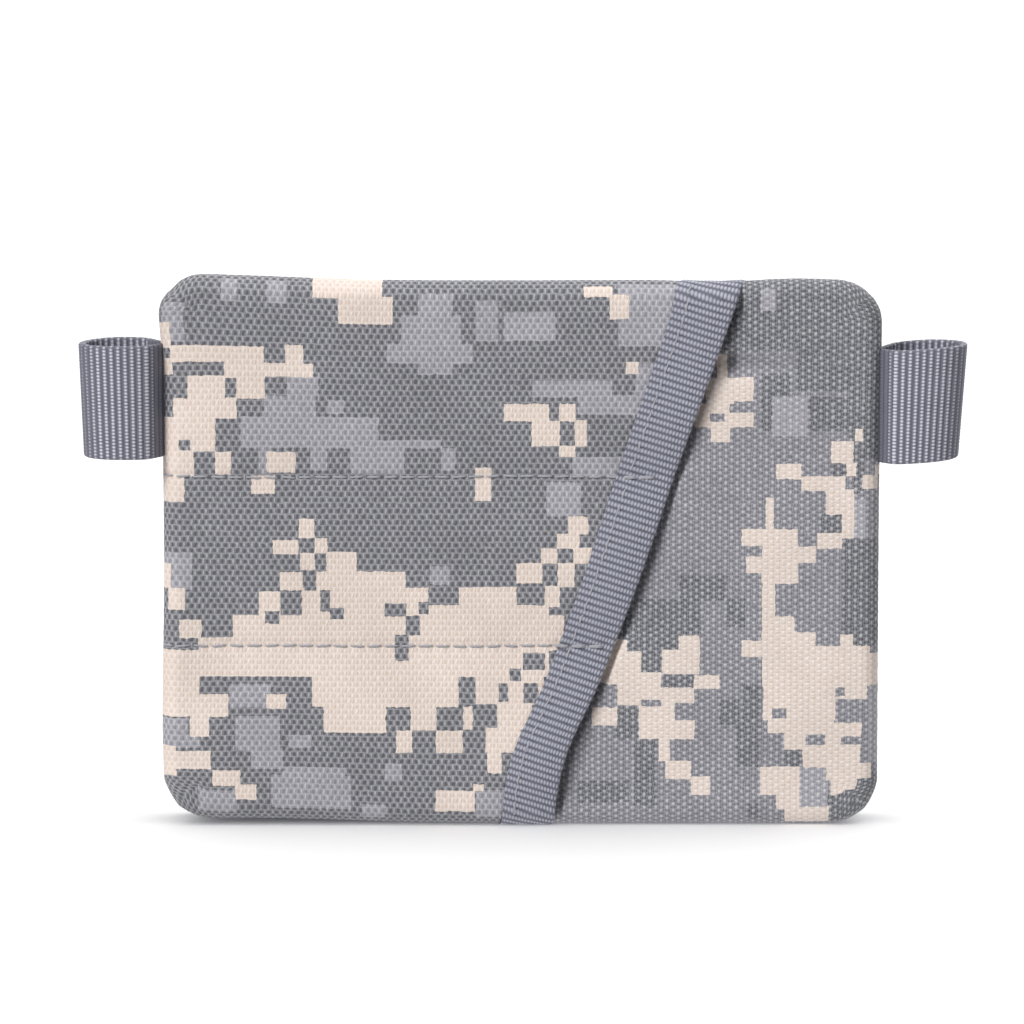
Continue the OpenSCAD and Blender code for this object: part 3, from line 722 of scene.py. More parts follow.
def pocket_lift(a, b, turned):
    """How far the slot pocket's cloth stands off the leaf: full between the rows of stitches and
    at the mouth, and drawn down at the rows, where each stitch puckers it."""
    x, z = a, b + front.mid_z
    between, drawn = 1.0, 0.0
    for height in ROW_HEIGHTS:
        between = between * (1 - hill(z, height, 6.5))
        pucker = 0.6 + 0.4 * np.cos(2 * PI * x / ROW_PITCH)
        drawn = drawn + hill(z, height, 0.9) * 0.28 * pucker
    ends = smooth(0, 10, z) * smooth(97.5, 90, z)
    side = smooth(-63, -48, x)
    from_mouth = (mouth_x(z) - x) * math.cos(TILT)
    gape = hill(from_mouth, 0, 12) * (0.5 + 0.5 * hill(z, 80, 14) + 0.6 * hill(z, 12, 9))
    standing = 0.5 + between * ends * side * (0.55 + gape) + 0.16 * ripple(x, z, 31, 16, 44) * side
    on_face = 1 - smooth(0.0, 0.3, turned)
    face = leaf_swell(x, z) + standing - drawn
    return 0.06 + on_face * face + yarn_nap(x, z, 23, 0.03)


def pocket_point(a, b, extra):
    """Points and normals of the slot pocket's outer face, lifted by extra."""
    turned = rolled(a, b, front)[2]
    points, normal, _ = shaped_front(a, b, pocket_lift(a, b, turned) + extra)
    return points, normal


# Grid step of the pocket's and the rear leaf's cloth
CLOTH_STEP = 0.62
POCKET_HEM = 1.2
# How far inside the mouth line the pocket's own cloth ends
MOUTH_INSET = 0.3


def pocket_panel():
    """Slanted pocket cloth: sewn into the left, top and bottom seams and open along the mouth."""
    b = flat_steps(front.half_h, front, CLOTH_STEP, POCKET_HEM)
    left = flat_steps(front.half_w, front, CLOTH_STEP, POCKET_HEM)[0]
    columns = math.ceil((mouth_x(LEAF_H / 2) - left) / CLOTH_STEP)
    share, rows = np.meshgrid(np.linspace(0, 1, columns), b)
    edge = mouth_x(rows + front.mid_z) - MOUTH_INSET
    a = left + share * (edge - left)
    face = pocket_point(a, rows, 0.0)[0]
    back = pocket_point(a, rows, -PANEL_T)[0]
    piece = slab_piece("slot_pocket_cloth", face, back, cloth_places(a, rows, front), pocket_camo,
                       "front_leaf", "camo_cloth", ["slot_pocket_panel"])


# ---------------------------------------------------------------- ribs, stitches

TAPE_RIB = 1.17
TAPE_YARN = 0.58
# How high the tape's ribs stand, and how far its ends reach past the middle of the leaf's edges
TAPE_RELIEF = 0.24
TAPE_TURN_IN = 4.6
# How far the tape is pressed into the leaf where it goes over the top edge
TAPE_SUNK = 0.3
# Height of a rib that lies level with the tape's own face
RIB_LEVEL = 0.6


def rib_height(along, across, rib, yarn, bead_share=0.38, roundness=0.8):
    """Height of ribbed cloth, 0 in a gap between yarns to 1 on top of a rib; bead_share says how
    far each yarn stands out of its rib, and a low roundness makes wide ribs with thin gaps."""
    ridge = np.abs(np.cos(PI * along / rib)) ** roundness
    count = np.floor(along / rib + 0.5)
    bead = np.abs(np.cos(PI * (across / yarn + 0.5 * (count % 2)))) ** 0.7
    return ridge * (1 - bead_share + bead_share * bead) + (1 - ridge) * 0.2 * bead


def tape_section():
    """Cross-section of the folded tape: distance in from the mouth, height over the middle of the
    panel and how much of the rib shows."""
    inside = PANEL_T / 2 + 0.02
    outside = inside + TAPE_T
    rear_w = TAPE_W - 1.5
    cells = math.ceil(TAPE_W / (TAPE_YARN / 4))
    turn = np.linspace(0, PI, 9)[1:-1]
    loops = [
        [(TAPE_W * (1 - k / cells), outside, 1.0) for k in range(cells + 1)],
        [(-outside * math.sin(t), outside * math.cos(t), 0.8) for t in turn],
        [(d, -outside, 0.4) for d in np.linspace(0, rear_w, 9)],
        [(d, -inside, 0.0) for d in np.linspace(rear_w, 0, 9)],
        [(-inside * math.sin(t), -inside * math.cos(t), 0.0) for t in turn[::2]],
        [(d, inside, 0.0) for d in np.linspace(0, TAPE_W, 9)],
    ]
    return np.array([point for loop in loops for point in loop])


def mouth_place(along, inward):
    """Flat place at a distance along the mouth line from its middle and inward from it; the tape is
    drawn narrower towards its lower end."""
    b = along * math.cos(TILT) + inward * math.sin(TILT)
    z = b + front.mid_z
    flare = 0.91 + 0.17 * np.clip(z / LEAF_H, 0, 1) + 0.08 * hill(z, 95, 3)
    middle = MOUTH_BOTTOM_X + front.mid_z * math.tan(TILT)
    a = middle + along * math.sin(TILT) - inward * flare * math.cos(TILT) + mouth_bow(z)
    return a, b


def edge_tape():
    """Ribbed tape folded over the slanted mouth, its ends turned round the top and bottom edges."""
    inward, height, show = tape_section().T[:, None]
    reach = (front.half_h + TAPE_TURN_IN) / math.cos(TILT)
    along = np.arange(-reach, reach, TAPE_RIB / 8)[:, None]
    slant = 0.03 * inward
    rib = rib_height(along + slant, inward, TAPE_RIB, TAPE_YARN, bead_share=0.45, roundness=0.5)
    overhang = 0.02 * TAPE_W
    a, b = mouth_place(along, np.maximum(inward, -overhang))
    over_top = smooth(0.25, 0.5, rolled(a, b, front)[2]) * (b > 0)
    relief = np.sign(height) * show * TAPE_RELIEF * (rib - RIB_LEVEL)
    lift = -PANEL_T / 2 + height + relief - TAPE_SUNK * over_top
    out = np.array([math.cos(TILT), 0, -math.sin(TILT)])
    points = pocket_point(a, b, lift)[0] + np.maximum(-inward - overhang, 0)[..., None] * out
    points[..., 2] = np.maximum(points[..., 2], 0)
    mesh_piece("pocket_mouth_tape", *tube(points), stacked(inward, along, rib * (show > 0)),
               tape_cloth, "front_leaf", "edge_tape", ["pocket_edge_tape"])


def stitches(centres, along, out, length, radius, seed):
    """Twisted stitches, one at each centre; their ends dive into the cloth."""
    rng = np.random.default_rng(seed)
    t = np.linspace(-1, 1, 13)[:, None]
    angle = np.linspace(0, 2 * PI, 8, endpoint=False)[None, :]
    twist = 1 + 0.16 * np.cos(2 * angle - t * 7.0)
    parts, places = [], []
    sizes = np.broadcast_to(radius, len(centres))
    for centre, heading, normal, size in zip(centres, unit(along), out, sizes):
        thick = size * twist * (1 - 0.55 * np.abs(t) ** 5)
        arch = -1.32 * size * np.abs(t) ** 3.2
        side = unit(np.cross(heading, normal))
        up = np.cross(side, heading)
        half = length / 2 * rng.uniform(0.93, 1.05)
        slant = rng.uniform(-0.09, 0.09)
        parts.append(tube(
            centre
            + (t * half)[..., None] * heading
            + (thick * np.cos(angle) + t * half * slant)[..., None] * side
            + (thick * np.sin(angle) * 0.8 + arch)[..., None] * up
        ))
        places.append(stacked(t * half + centre[0], angle * size, twist))
    points, faces = merged(parts)
    return points, faces, np.concatenate(places)


# How far ahead a row on a curved face looks for its heading
LOOK_AHEAD = 0.4


def curved_row(name, place_at, length, radius, seed, material, body, stands_for=()):
    """Row of stitches on a curved face; place_at gives its points and normals, moved along the row
    by a distance."""
    centre, normal = place_at(0.0)
    ahead, _ = place_at(LOOK_AHEAD)
    shape = stitches(centre, ahead - centre, normal, length, radius, seed)
    mesh_piece(name, *shape, material, body, "thread", stands_for)


def slot_row(name, node, height, seed):
    """Row of stitches from the left edge across the pocket and the tape."""
    x = np.arange(0.6 - front.half_w, mouth_x(height) - 1.2, ROW_PITCH)
    b = height - front.mid_z + 0.26 * ripple(x, np.zeros_like(x), seed, 20, 50)
    on_tape = x > mouth_x(height) - (TAPE_W + 0.5) / math.cos(TILT)
    extra = np.where(on_tape, TAPE_T + 0.18, 0.1)
    radius = np.where(on_tape, 0.32, 0.19)
    curved_row(name, lambda shift: pocket_point(x + shift, b, extra), length=2.6, radius=radius,
               seed=seed, material=thread, body="front_leaf", stands_for=[node])


def tape_seam():
    """Fine row of stitches along the tape, clear of the rows that cross it."""
    reach = front.half_h / math.cos(TILT) - 1.0
    along = np.arange(-reach, reach, 2.95)

    def place_at(shift):
        """Points and normals of the row on top of the tape."""
        return pocket_point(*mouth_place(along + shift, TAPE_SEAM_IN), TAPE_T + 0.06)

    curved_row("tape_seam", place_at, length=2.6, radius=0.17, seed=77, material=thread,
               body="front_leaf", stands_for=["tape_stitching"])


# ---------------------------------------------------------------- webbing loops

WEB_RIB = 1.17
WEB_YARN = 0.59
WEB_W = 20.0
WEB_T = 1.2
WEB_EDGE = 0.35
WEB_RELIEF = 0.28
WEB_MID_Z = 75.4
# How much higher a loop's rear ply sits, and how far it arches between the seam and the fold
WEB_SKEW = 0.6
WEB_ARCH = 0.5
# How far from the seam and from the fold the webbing carries painted shade
WEB_SHADE_REACH = 3.2


def drop_path(reach, depth):
    """Middle line of a loop in plan, from the seam round and back: places, outward directions and
    distances at even steps."""
    squareness = 2.3
    power = 2 / squareness
    t = np.linspace(-PI, PI, 3000)
    x = reach / 2 * (1 + np.sign(np.cos(t)) * np.abs(np.cos(t)) ** power)
    y = depth / 2 * np.sign(np.sin(t)) * np.abs(np.sin(t)) ** power
    y = y * np.sqrt(np.clip(x / (0.22 * reach), 0, 1))
    length = np.concatenate([[0], np.cumsum(np.hypot(np.diff(x), np.diff(y)))])
    even = np.linspace(0, length[-1], int(length[-1] / (WEB_RIB / 8)))
    x, y = np.interp(even, length, x), np.interp(even, length, y)
    heading = unit(stacked(np.gradient(x), np.gradient(y)))
    return np.stack([x, y, heading[:, 1], -heading[:, 0], even])[..., None]


def webbing_section():
    """Cross-section of the webbing: distance out, height up and how much of the rib shows."""
    half_t = WEB_T / 2
    flat = WEB_W / 2 - WEB_EDGE
    turn = np.linspace(0, PI, 7)[1:-1]
    return np.array(
        [(half_t, z, 1.0) for z in np.linspace(-1, 1, 129) * flat]
        + [(half_t * math.cos(t), flat + WEB_EDGE * math.sin(t), 0.5) for t in turn]
        + [(-half_t, z, 0.9) for z in np.linspace(1, -1, 65) * flat]
        + [(-half_t * math.cos(t), -flat - WEB_EDGE * math.sin(t), 0.5) for t in turn]
    )


def webbing_loop(side, name, node, body, low_reach, stretch, drop, lean):
    """Webbing doubled into a loop: vertical ribs of beaded yarn, with painted shadow at the seam, where
    the body shades it, and painted shade where it turns away from the light, duller along its plain edges,
    and narrower towards its lower edge."""
    low, high = span(node)
    seam_x = front.half_w + 0.1
    reach = max(abs(low[0]), abs(high[0])) - seam_x - WEB_T / 2 + stretch
    depth = high[1] - low[1] - WEB_T
    x, y, out_x, out_y, along = drop_path(reach, depth)
    thick, up, show = webbing_section().T[:, None]
    rib = rib_height(along, up, WEB_RIB, WEB_YARN, bead_share=0.42)
    offset = thick + np.sign(thick) * show * WEB_RELIEF * (rib - 0.55)
    plan_x = (x + out_x * offset) * (1 - (0.5 - up / WEB_W) * (1 - low_reach))
    plan_y = y + out_y * offset
    behind = plan_y / depth
    arch = WEB_ARCH * np.maximum(behind, 0) * np.sin(PI * np.clip(plan_x / reach, 0, 1))
    height = WEB_MID_Z - drop + up + lean * plan_x / reach + WEB_SKEW * behind + arch
    points = stacked(side * (seam_x + plan_x), front.mid_y + plan_y, height)
    # Painted shadow at the seam, where the body shades the webbing, and painted shade at the fold, where
    # it turns away from the light; along the plain edges the ribs stand out less
    seam_shadow = smooth(WEB_SHADE_REACH, 0.6, x)
    turn_shade = smooth(reach - WEB_SHADE_REACH, reach, x)
    at_edge = 0.55 * smooth(WEB_W / 2 - 0.9, WEB_W / 2, np.abs(up))
    relief = rib * (1 - 0.62 * seam_shadow) * (1 - 0.2 * np.maximum(turn_shade, at_edge))
    mesh_piece(name, *tube(points), stacked(along, up, relief), webbing_cloth, body, "webbing", [node])


# ---------------------------------------------------------------- flat cloth pieces


def cloth_slab(name, node, corner, material, body, slot, step, waves, seed, grow=0.0, proud=0.0):
    """Thin piece of cloth that fills a CAD node's box, or stands a little past it: rounded edges
    and slow waves."""
    leaf = leaf_of(corner, node)
    leaf = leaf._replace(half_w=leaf.half_w + grow, half_h=leaf.half_h + grow,
                         roll=leaf.roll + proud)
    a, b = rolled_grid(leaf, step, 0, 4, PI / 2)
    wave = inner_face(a, b, leaf, 8, 8) * waves * ripple(a, b, seed, 14, 40)
    face = rolled(a, b, leaf)[0]
    back = face.copy()
    back[..., 1] = 2 * leaf.mid_y - face[..., 1] + wave
    face[..., 1] += wave
    shape = two_faced(face, back, cloth_places(a, b, leaf))
    return mesh_piece(name, *shape, material, body, slot, [node])


def two_faced(face, back, places):
    """Closed shape out of two matching grids with the same rim, and each point's cloth place."""
    rows, columns = face.shape[:2]
    count = rows * columns
    number = np.arange(count) + count
    rim = rim_of(rows, columns)
    number[rim] = rim
    quads = np.vstack([grid_quads(rows, columns), number[grid_quads(rows, columns)][:, ::-1]])
    used, quads = np.unique(quads, return_inverse=True)
    points = np.concatenate([face.reshape(-1, 3), back.reshape(-1, 3)])[used]
    return points, [quads.reshape(-1, 4)], np.concatenate([places, places])[used]


def seam(name, centres, along, facing, body, seed, material=thread, length=2.1, radius=0.16):
    """Row of stitches through flat cloth that faces along Y."""
    out = np.tile([0.0, facing, 0.0], (len(centres), 1))
    shape = stitches(np.asarray(centres), np.asarray(along), out, length, radius, seed)
    mesh_piece(name, *shape, material, body, "thread")


def straight_runs(corners, y, pitch=2.6):
    """Even places and headings along straight runs between corners (x, z) at depth y."""
    centres, along = [], []
    for (x0, z0), (x1, z1) in zip(corners, corners[1:]):
        run = math.hypot(x1 - x0, z1 - z0)
        count = max(1, round(run / pitch))
        heading = np.array([x1 - x0, 0, z1 - z0]) / run
        for k in range(count):
            centres.append(np.array([x0, y, z0]) + heading * (k + 0.5) * run / count)
            along.append(heading)
    return centres, along


def three_sides(low, high, inset, mouth_gap, opens_up=False):
    """Corners (x, z) of a run round three sides of a box: in from its edges by inset, and short of
    its open edge, towards +X or up, by mouth_gap."""
    x0, z0, x1, z1 = low[0] + inset, low[2] + inset, high[0] - inset, high[2] - inset
    if opens_up:
        end = high[2] - mouth_gap
        return [(x0, end), (x0, z0), (x1, z0), (x1, end)]
    end = high[0] - mouth_gap
    return [(end, z0), (x0, z0), (x0, z1), (end, z1)]


def outline(leaf, inset, step):
    """Even places round a leaf, in from its edge: points on Y = 0, outward directions and
    distances."""
    corner = leaf.corner - inset
    arc = np.linspace(0, PI / 2, 40)
    x, z, bearing = [], [], []
    for quarter in range(4):
        side_x = 1 if quarter in (0, 3) else -1
        side_z = 1 if quarter in (0, 1) else -1
        turn = arc + quarter * PI / 2
        x.append(side_x * (leaf.half_w - inset - corner) + corner * np.cos(turn))
        z.append(side_z * (leaf.half_h - inset - corner) + corner * np.sin(turn))
        bearing.append(turn)
    x, z, bearing = (np.append(np.concatenate(part), part[0][0]) for part in (x, z, bearing))
    bearing[-1] = 2 * PI
    distance = np.concatenate([[0], np.cumsum(np.hypot(np.diff(x), np.diff(z)))])
    count = round(distance[-1] / step)
    even = np.arange(count) * distance[-1] / count
    x, z, bearing = (np.interp(even, distance, part) for part in (x, z, bearing))
    return stacked(x, 0.0, z + leaf.mid_z), stacked(np.cos(bearing), 0.0, np.sin(bearing)), even


def seam_round(name, leaf, inset, pitch, facing, proud, body, seed, material):
    """Row of stitches round a flat leaf, in from its edge and a little proud of one face."""
    points, outward, _ = outline(leaf, inset, pitch)
    along = np.stack([-outward[:, 2], outward[:, 1], outward[:, 0]], -1)
    y = leaf.mid_y + facing * (leaf.roll + proud)
    seam(name, points + [0, y, 0], along, facing, body, seed, material)


BIND_RIB = 0.94
BIND_YARN = 0.5
BIND_RELIEF = 0.12


def u_section(width, thick, core):
    """Tape folded over an edge: distance in from the edge, height off the middle, and how its
    outside faces (inward, up) where the ribs show."""
    outer = core + thick
    down = np.linspace(width, outer, 14)
    turn = np.linspace(PI / 2, -PI / 2, 9)[1:-1]
    back = np.linspace(outer, width, 6)
    points = [(d, outer, 0, 1) for d in down]
    points += [(outer - outer * math.cos(t), outer * math.sin(t), -math.cos(t), math.sin(t)) for t in turn]
    points += [(d, -outer, 0, -1) for d in down[::-1]]
    points += [(d, -core, 0, 0) for d in back[::-1]]
    points += [(d, core, 0, 0) for d in back]
    return np.array(points)


def flat_section(width, thick):
    """Flat tape lying on cloth: across, height and facing, with its outside rounded at the edges."""
    across = np.linspace(-width / 2, width / 2, 19)
    edge = np.minimum(1, (width / 2 - np.abs(across)) / thick)
    height = thick * np.sqrt(1 - (1 - edge) ** 2)
    face = [(a, h, 0, 1) for a, h in zip(across, height)]
    under = [(a, -0.05, 0, 0) for a in across[::-3]]
    return np.array(face + under)


def ribbed_run(centres, across, distance, section, relief):
    """Points and places of ribbed tape swept along a run; its section is given across the run and
    out along Y."""
    inward, height, face_in, face_out = section.T[:, None]
    rib = rib_height(distance[:, None], inward, BIND_RIB, BIND_YARN)
    shows = np.hypot(face_in, face_out)
    stand = relief * (rib - RIB_LEVEL) * shows
    step_in = (inward + face_in * stand)[..., None] * np.atleast_2d(across)[:, None]
    step_out = (height + face_out * stand)[..., None] * np.array([0.0, 1.0, 0.0])
    return centres[:, None] + step_in + step_out, stacked(inward, distance[:, None], rib * shows)


def straight_tape(start, end, across, section, relief):
    """Points and places of ribbed tape on a straight run."""
    start, end = np.array(start, float), np.array(end, float)
    length = np.linalg.norm(end - start)
    distance = np.linspace(0, length, math.ceil(length / (BIND_RIB / 6)) + 1)
    centres = start + distance[:, None] / length * (end - start)
    return ribbed_run(centres, across, distance, section, relief)


# ---------------------------------------------------------------- linings and pockets


def lining(name, node, body, facing, seed, seam_in=1.6):
    """Inner cloth with a row of stitches round it, a little proud of the hem that it covers."""
    corner = 6.0
    cloth_slab(name, node, corner, lining_cloth, body, "lining_cloth", step=1.4, waves=0.05,
               seed=seed, grow=0.5, proud=0.06)
    seam_round(name + "_seam", leaf_of(corner, node), inset=seam_in, pitch=2.6, facing=facing,
               proud=0.1, body=body, seed=seed, material=dark_thread)


def flat_pocket(name, node, body, facing, seed, opens_up=False):
    """Flat pocket sewn down on three sides, its mouth, towards +X or up, bound with tape."""
    piece = cloth_slab(name + "_cloth", node, 1.5, lining_cloth, body, "lining_cloth", step=1.2,
                       waves=0.03, seed=seed)
    low, high = span(node)
    y = (high[1] if facing > 0 else low[1]) + facing * 0.05
    corners = three_sides(low, high, 1.4, 0.4, opens_up)
    seam(name + "_seam", *straight_runs(corners, y), facing, body, seed, dark_thread)
    mid_y = (low[1] + high[1]) / 2
    past_edge = 0.15
    over_x, over_z = high[0] + past_edge, high[2] + past_edge
    if opens_up:
        ends = (low[0], mid_y, over_z), (high[0], mid_y, over_z), (0, 0, -1)
    else:
        ends = (over_x, mid_y, low[2]), (over_x, mid_y, high[2]), (-1, 0, 0)
    section = u_section(width=2.4, thick=0.14, core=(high[1] - low[1]) / 2)
    points, places = straight_tape(*ends, section, BIND_RELIEF)
    mesh_piece(name + "_binding", *tube(points), places, tape_cloth, body, "edge_tape")


def id_window():
    """Card window inside the front leaf: clear film in a frame of ribbed tape, open on one side."""
    low, high = span("id_window_frame")
    rim = 5.0
    half = rim / 2
    # The side tape stops a little past the middle of the tapes that it meets
    side_end = rim * 0.55
    y = low[1]
    runs = (
        ((high[0], y, low[2] + half), (low[0], y, low[2] + half), (0, 0, 1)),
        ((low[0], y, high[2] - half), (high[0], y, high[2] - half), (0, 0, 1)),
        ((low[0] + half, y, low[2] + side_end), (low[0] + half, y, high[2] - side_end), (1, 0, 0)),
    )
    section = flat_section(rim, high[1] - low[1])
    tapes = [straight_tape(*run, section, relief=0.1) for run in runs]
    points, faces = merged([tube(tape) for tape, _ in tapes])
    places = np.concatenate([tape_places for _, tape_places in tapes])
    mesh_piece("id_window_tape", points, faces, places, tape_cloth, "front_leaf", "edge_tape",
               ["id_window_frame"])
    corners = three_sides(low, high, 1.2, 1.0)
    seam("id_window_seam", *straight_runs(corners, high[1] + 0.04), 1, "front_leaf", 61)
    window = cloth_slab("id_window_sheet", "id_window_film", 1.0, film, "front_leaf", "clear_film",
                        step=1.5, waves=0.09, seed=62)


# ---------------------------------------------------------------- hook and loop pads


def bent_wire(path, radius, across, around=5):
    """Fine round wire along a path of points; across is a direction that the path never takes."""
    heading = unit(np.gradient(path, axis=0))
    side = unit(np.cross(heading, across))
    up = np.cross(heading, side)
    angle = np.linspace(0, 2 * PI, around, endpoint=False)[None, :, None]
    return path[:, None] + radius * (np.cos(angle) * side[:, None] + np.sin(angle) * up[:, None])


# Thickness of a pad's woven base, steps along one of its wires and how far apart these stand
PAD_BASE = 0.3
WIRE_STEPS = np.linspace(0, 1, 8)
HOOK_PITCH = (1.15, 1.0)
LOOP_PITCH = (0.85, 0.8)


def hook(foot, tall, facing, row):
    """One hook of a pad, its tip towards +X and towards -X row by row."""
    t = WIRE_STEPS
    straight = 0.45
    stem = tall - 0.2
    bend = np.maximum(t - straight, 0) / (1 - straight) * PI
    reach = 0.22 * (1 - np.cos(bend)) * (1 if row % 2 else -1)
    rise = np.where(t < straight, t / straight * stem, stem + 0.17 * np.sin(bend))
    centre = foot + [0.5 * HOOK_PITCH[0] * (row % 2), 0, 0]
    return bent_wire(centre + stacked(reach, facing * rise, 0.0), 0.075, (0, 0, 1))


def pile_loop(foot, tall, facing, rng):
    """One fine loop of a pad, turned and placed at random."""
    t = WIRE_STEPS
    heading = rng.uniform(0, PI)
    wide = rng.uniform(0.35, 0.6)
    reach = wide * (t - 0.5) * (1 + 0.5 * np.sin(PI * t))
    rise = (tall - 0.05) * rng.uniform(0.55, 1) * np.sin(PI * t) - 0.03
    path = stacked(reach * math.cos(heading), facing * rise, reach * math.sin(heading))
    centre = foot + [rng.uniform(-0.3, 0.3), 0, rng.uniform(-0.3, 0.3)]
    return bent_wire(centre + path, 0.06, (-math.sin(heading), 0, math.cos(heading)))


def pad(name, node, body, facing, is_hook, seed):
    """Hook or loop tape: a woven base, stitches round it, and hooks in rows or a nap of fine loops."""
    rng = np.random.default_rng(seed)
    low, high = span(node)
    base_y = low[1] if facing > 0 else high[1]
    top_y = base_y + facing * PAD_BASE
    leaf = leaf_of(0.8, node)._replace(roll=PAD_BASE / 2, mid_y=base_y + facing * PAD_BASE / 2)
    parts = [pillow(rolled(*rolled_grid(leaf, 0.8, 0.2, 4), leaf)[0])]
    pitch_x, pitch_z = HOOK_PITCH if is_hook else LOOP_PITCH
    margin = 1.3
    tall = high[1] - low[1] - PAD_BASE
    for x in np.arange(low[0] + margin, high[0] - margin, pitch_x):
        for row, z in enumerate(np.arange(low[2] + margin, high[2] - margin, pitch_z)):
            foot = np.array([x, top_y, z])
            wire = hook(foot, tall, facing, row) if is_hook else pile_loop(foot, tall, facing, rng)
            parts.append(tube(wire))
    points, faces = merged(parts)
    slot, material = ("hook_pad", hook_nylon) if is_hook else ("loop_pad", loop_pile)
    mesh_piece(name, points, faces, points, material, body, slot, [node])
    inset = 0.7
    x0, z0, x1, z1 = low[0] + inset, low[2] + inset, high[0] - inset, high[2] - inset
    corners = [(x0, z0), (x1, z0), (x1, z1), (x0, z1), (x0, z0)]
    runs = straight_runs(corners, top_y + facing * 0.05, 2.2)
    seam(name + "_seam", *runs, facing, body, seed, dark_thread, length=1.8, radius=0.12)


# ---------------------------------------------------------------- folds and middle binding


def middle_binding():
    """Ribbed tape folded over the edge of the middle leaf, all the way round, with its stitches."""
    leaf = leaf_of(6.5, "middle_edge_binding")
    core = 0.6
    section = u_section(3.0, leaf.roll - core, core)
    centres, outward, distance = outline(leaf, 0, BIND_RIB / 4.5)
    points, places = ribbed_run(centres + [0, leaf.mid_y, 0], -outward, distance, section, BIND_RELIEF)
    mesh_piece("middle_binding_tape", *ring(points), places, tape_cloth, "middle_leaf", "edge_tape",
               ["middle_edge_binding"])
    for facing, side in ((-1, "front"), (1, "rear")):
        seam_round("middle_binding_seam_" + side, leaf, inset=2.2, pitch=2.5, facing=facing,
                   proud=0.03, body="middle_leaf", seed=65 + facing, material=thread)


def fold_path(from_y, to_y, base_z, bend_z):
    """Middle line (y, z) of a strip that runs from one leaf over a half round fold to the next."""
    steps = 15
    radius = (to_y - from_y) / 2
    upward = 1 if bend_z > base_z else -1
    turn = np.linspace(0, PI, steps)
    rise = base_z + (bend_z - base_z) * np.linspace(0, 1, steps + 1)[:-1]
    bent_y = from_y + radius - radius * np.cos(turn)
    y = np.concatenate([np.full(steps, from_y), bent_y, np.full(steps, to_y)])
    return y, np.concatenate([rise, bend_z + upward * radius * np.sin(turn), rise[::-1]])


def fold_strip(name, node, from_y, to_y, base_z, top_z):
    """Soft tape that joins two leaves along a fold, bent in a half round over it."""
    low, high = span(node)
    thick = 0.4
    upward = 1 if top_z > base_z else -1
    y, z = fold_path(from_y, to_y, base_z, top_z - upward * ((to_y - from_y) / 2 + thick / 2))
    heading = unit(stacked(np.gradient(y), np.gradient(z)))
    normal = np.stack([-heading[:, 1], heading[:, 0]], -1) * upward
    x = np.arange(low[0], high[0], BIND_RIB / 5)
    along = np.cumsum(np.hypot(np.diff(y, prepend=y[0]), np.diff(z, prepend=z[0])))
    rib = rib_height(x[None, :], along[:, None], BIND_RIB, BIND_YARN)

    def layer(offset):
        """One face of the strip at a distance from its middle line."""
        return stacked(x, y[:, None] + normal[:, :1] * offset, z[:, None] + normal[:, 1:] * offset)

    outer = layer(thick / 2 + 0.08 * (rib - RIB_LEVEL))
    inner = layer(np.full_like(rib, -thick / 2))
    strip = slab_piece(name, outer, inner, stacked(along[:, None], x, rib), tape_cloth, None,
                       "edge_tape", [node])
    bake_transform(strip)


# ---------------------------------------------------------------- rear leaf


def rear_point(a, b, extra):
    """Points and normals of the rear leaf's outer face, which looks along +Y: a soft swell over
    the coin pocket that the rows of stitches by the zip draw down."""
    turned = rolled(a, b, rear)[2]
    z = b + rear.mid_z
    near_zip = np.maximum(hill(z, ZIP_LOW - ZIP_ROW_IN, 1.2), hill(z, ZIP_HIGH + ZIP_ROW_IN, 1.2))
    by_zip = smooth(0, 9, np.maximum(ZIP_LOW - z, z - ZIP_HIGH))
    swell = inner_face(a, b, rear, 12, 10) * by_zip * (0.55 + 0.3 * ripple(a, b, 71, 24, 60))
    face = swell - 0.14 * near_zip + yarn_nap(a, b, 73)
    points, normal, _ = rolled(a, b, rear, face * (1 - smooth(0.2, 0.7, turned)) + extra)
    points[..., 1] = 2 * rear.mid_y - points[..., 1]
    normal[..., 1] *= -1
    return points, normal


def rear_panel(name, node, split_z, reach, seed):
    """Outer cloth of the rear leaf that reaches the zip from below (1) or from above (-1): rolled
    round the leaf's edges, and folded under beside the zip, with a row of stitches."""
    edge = split_z - rear.mid_z
    half_t = REAR_SKIN / 2
    t = np.linspace(0, PI / 2, 6)
    b = flat_steps(rear.half_h, rear, CLOTH_STEP, REAR_HEM)
    fold_gap = 1.0
    b = b[b < edge - fold_gap] if reach > 0 else b[b > edge + fold_gap][::-1]
    b = np.concatenate([b, edge - reach * half_t * (1 - np.sin(t))])
    fold = np.concatenate([np.zeros(len(b) - len(t)), half_t * (np.cos(t) - 1)])
    across, up = np.meshgrid(flat_steps(rear.half_w, rear, CLOTH_STEP, REAR_HEM), b)
    dip = fold[:, None] + 0 * across
    face = rear_point(across, up, dip)[0]
    back = rear_point(across, up, -REAR_SKIN - dip)[0]
    places = stacked(-across, LEAF_H - (up + rear.mid_z), 0.0)
    panel = slab_piece(name, face, back, places, rear_camo, "rear_leaf", "camo_cloth", [node])
    side_gap = 4
    x = np.arange(-rear.half_w + side_gap, rear.half_w - side_gap, 2.9)
    row_b = np.full_like(x, edge - reach * ZIP_ROW_IN)
    curved_row(name + "_seam", lambda shift: rear_point(x + shift, row_b, 0.04), length=2.4,
               radius=0.17, seed=seed, material=thread, body="rear_leaf")


COIL_PITCH = 1.3
COIL_WIRE = 0.27


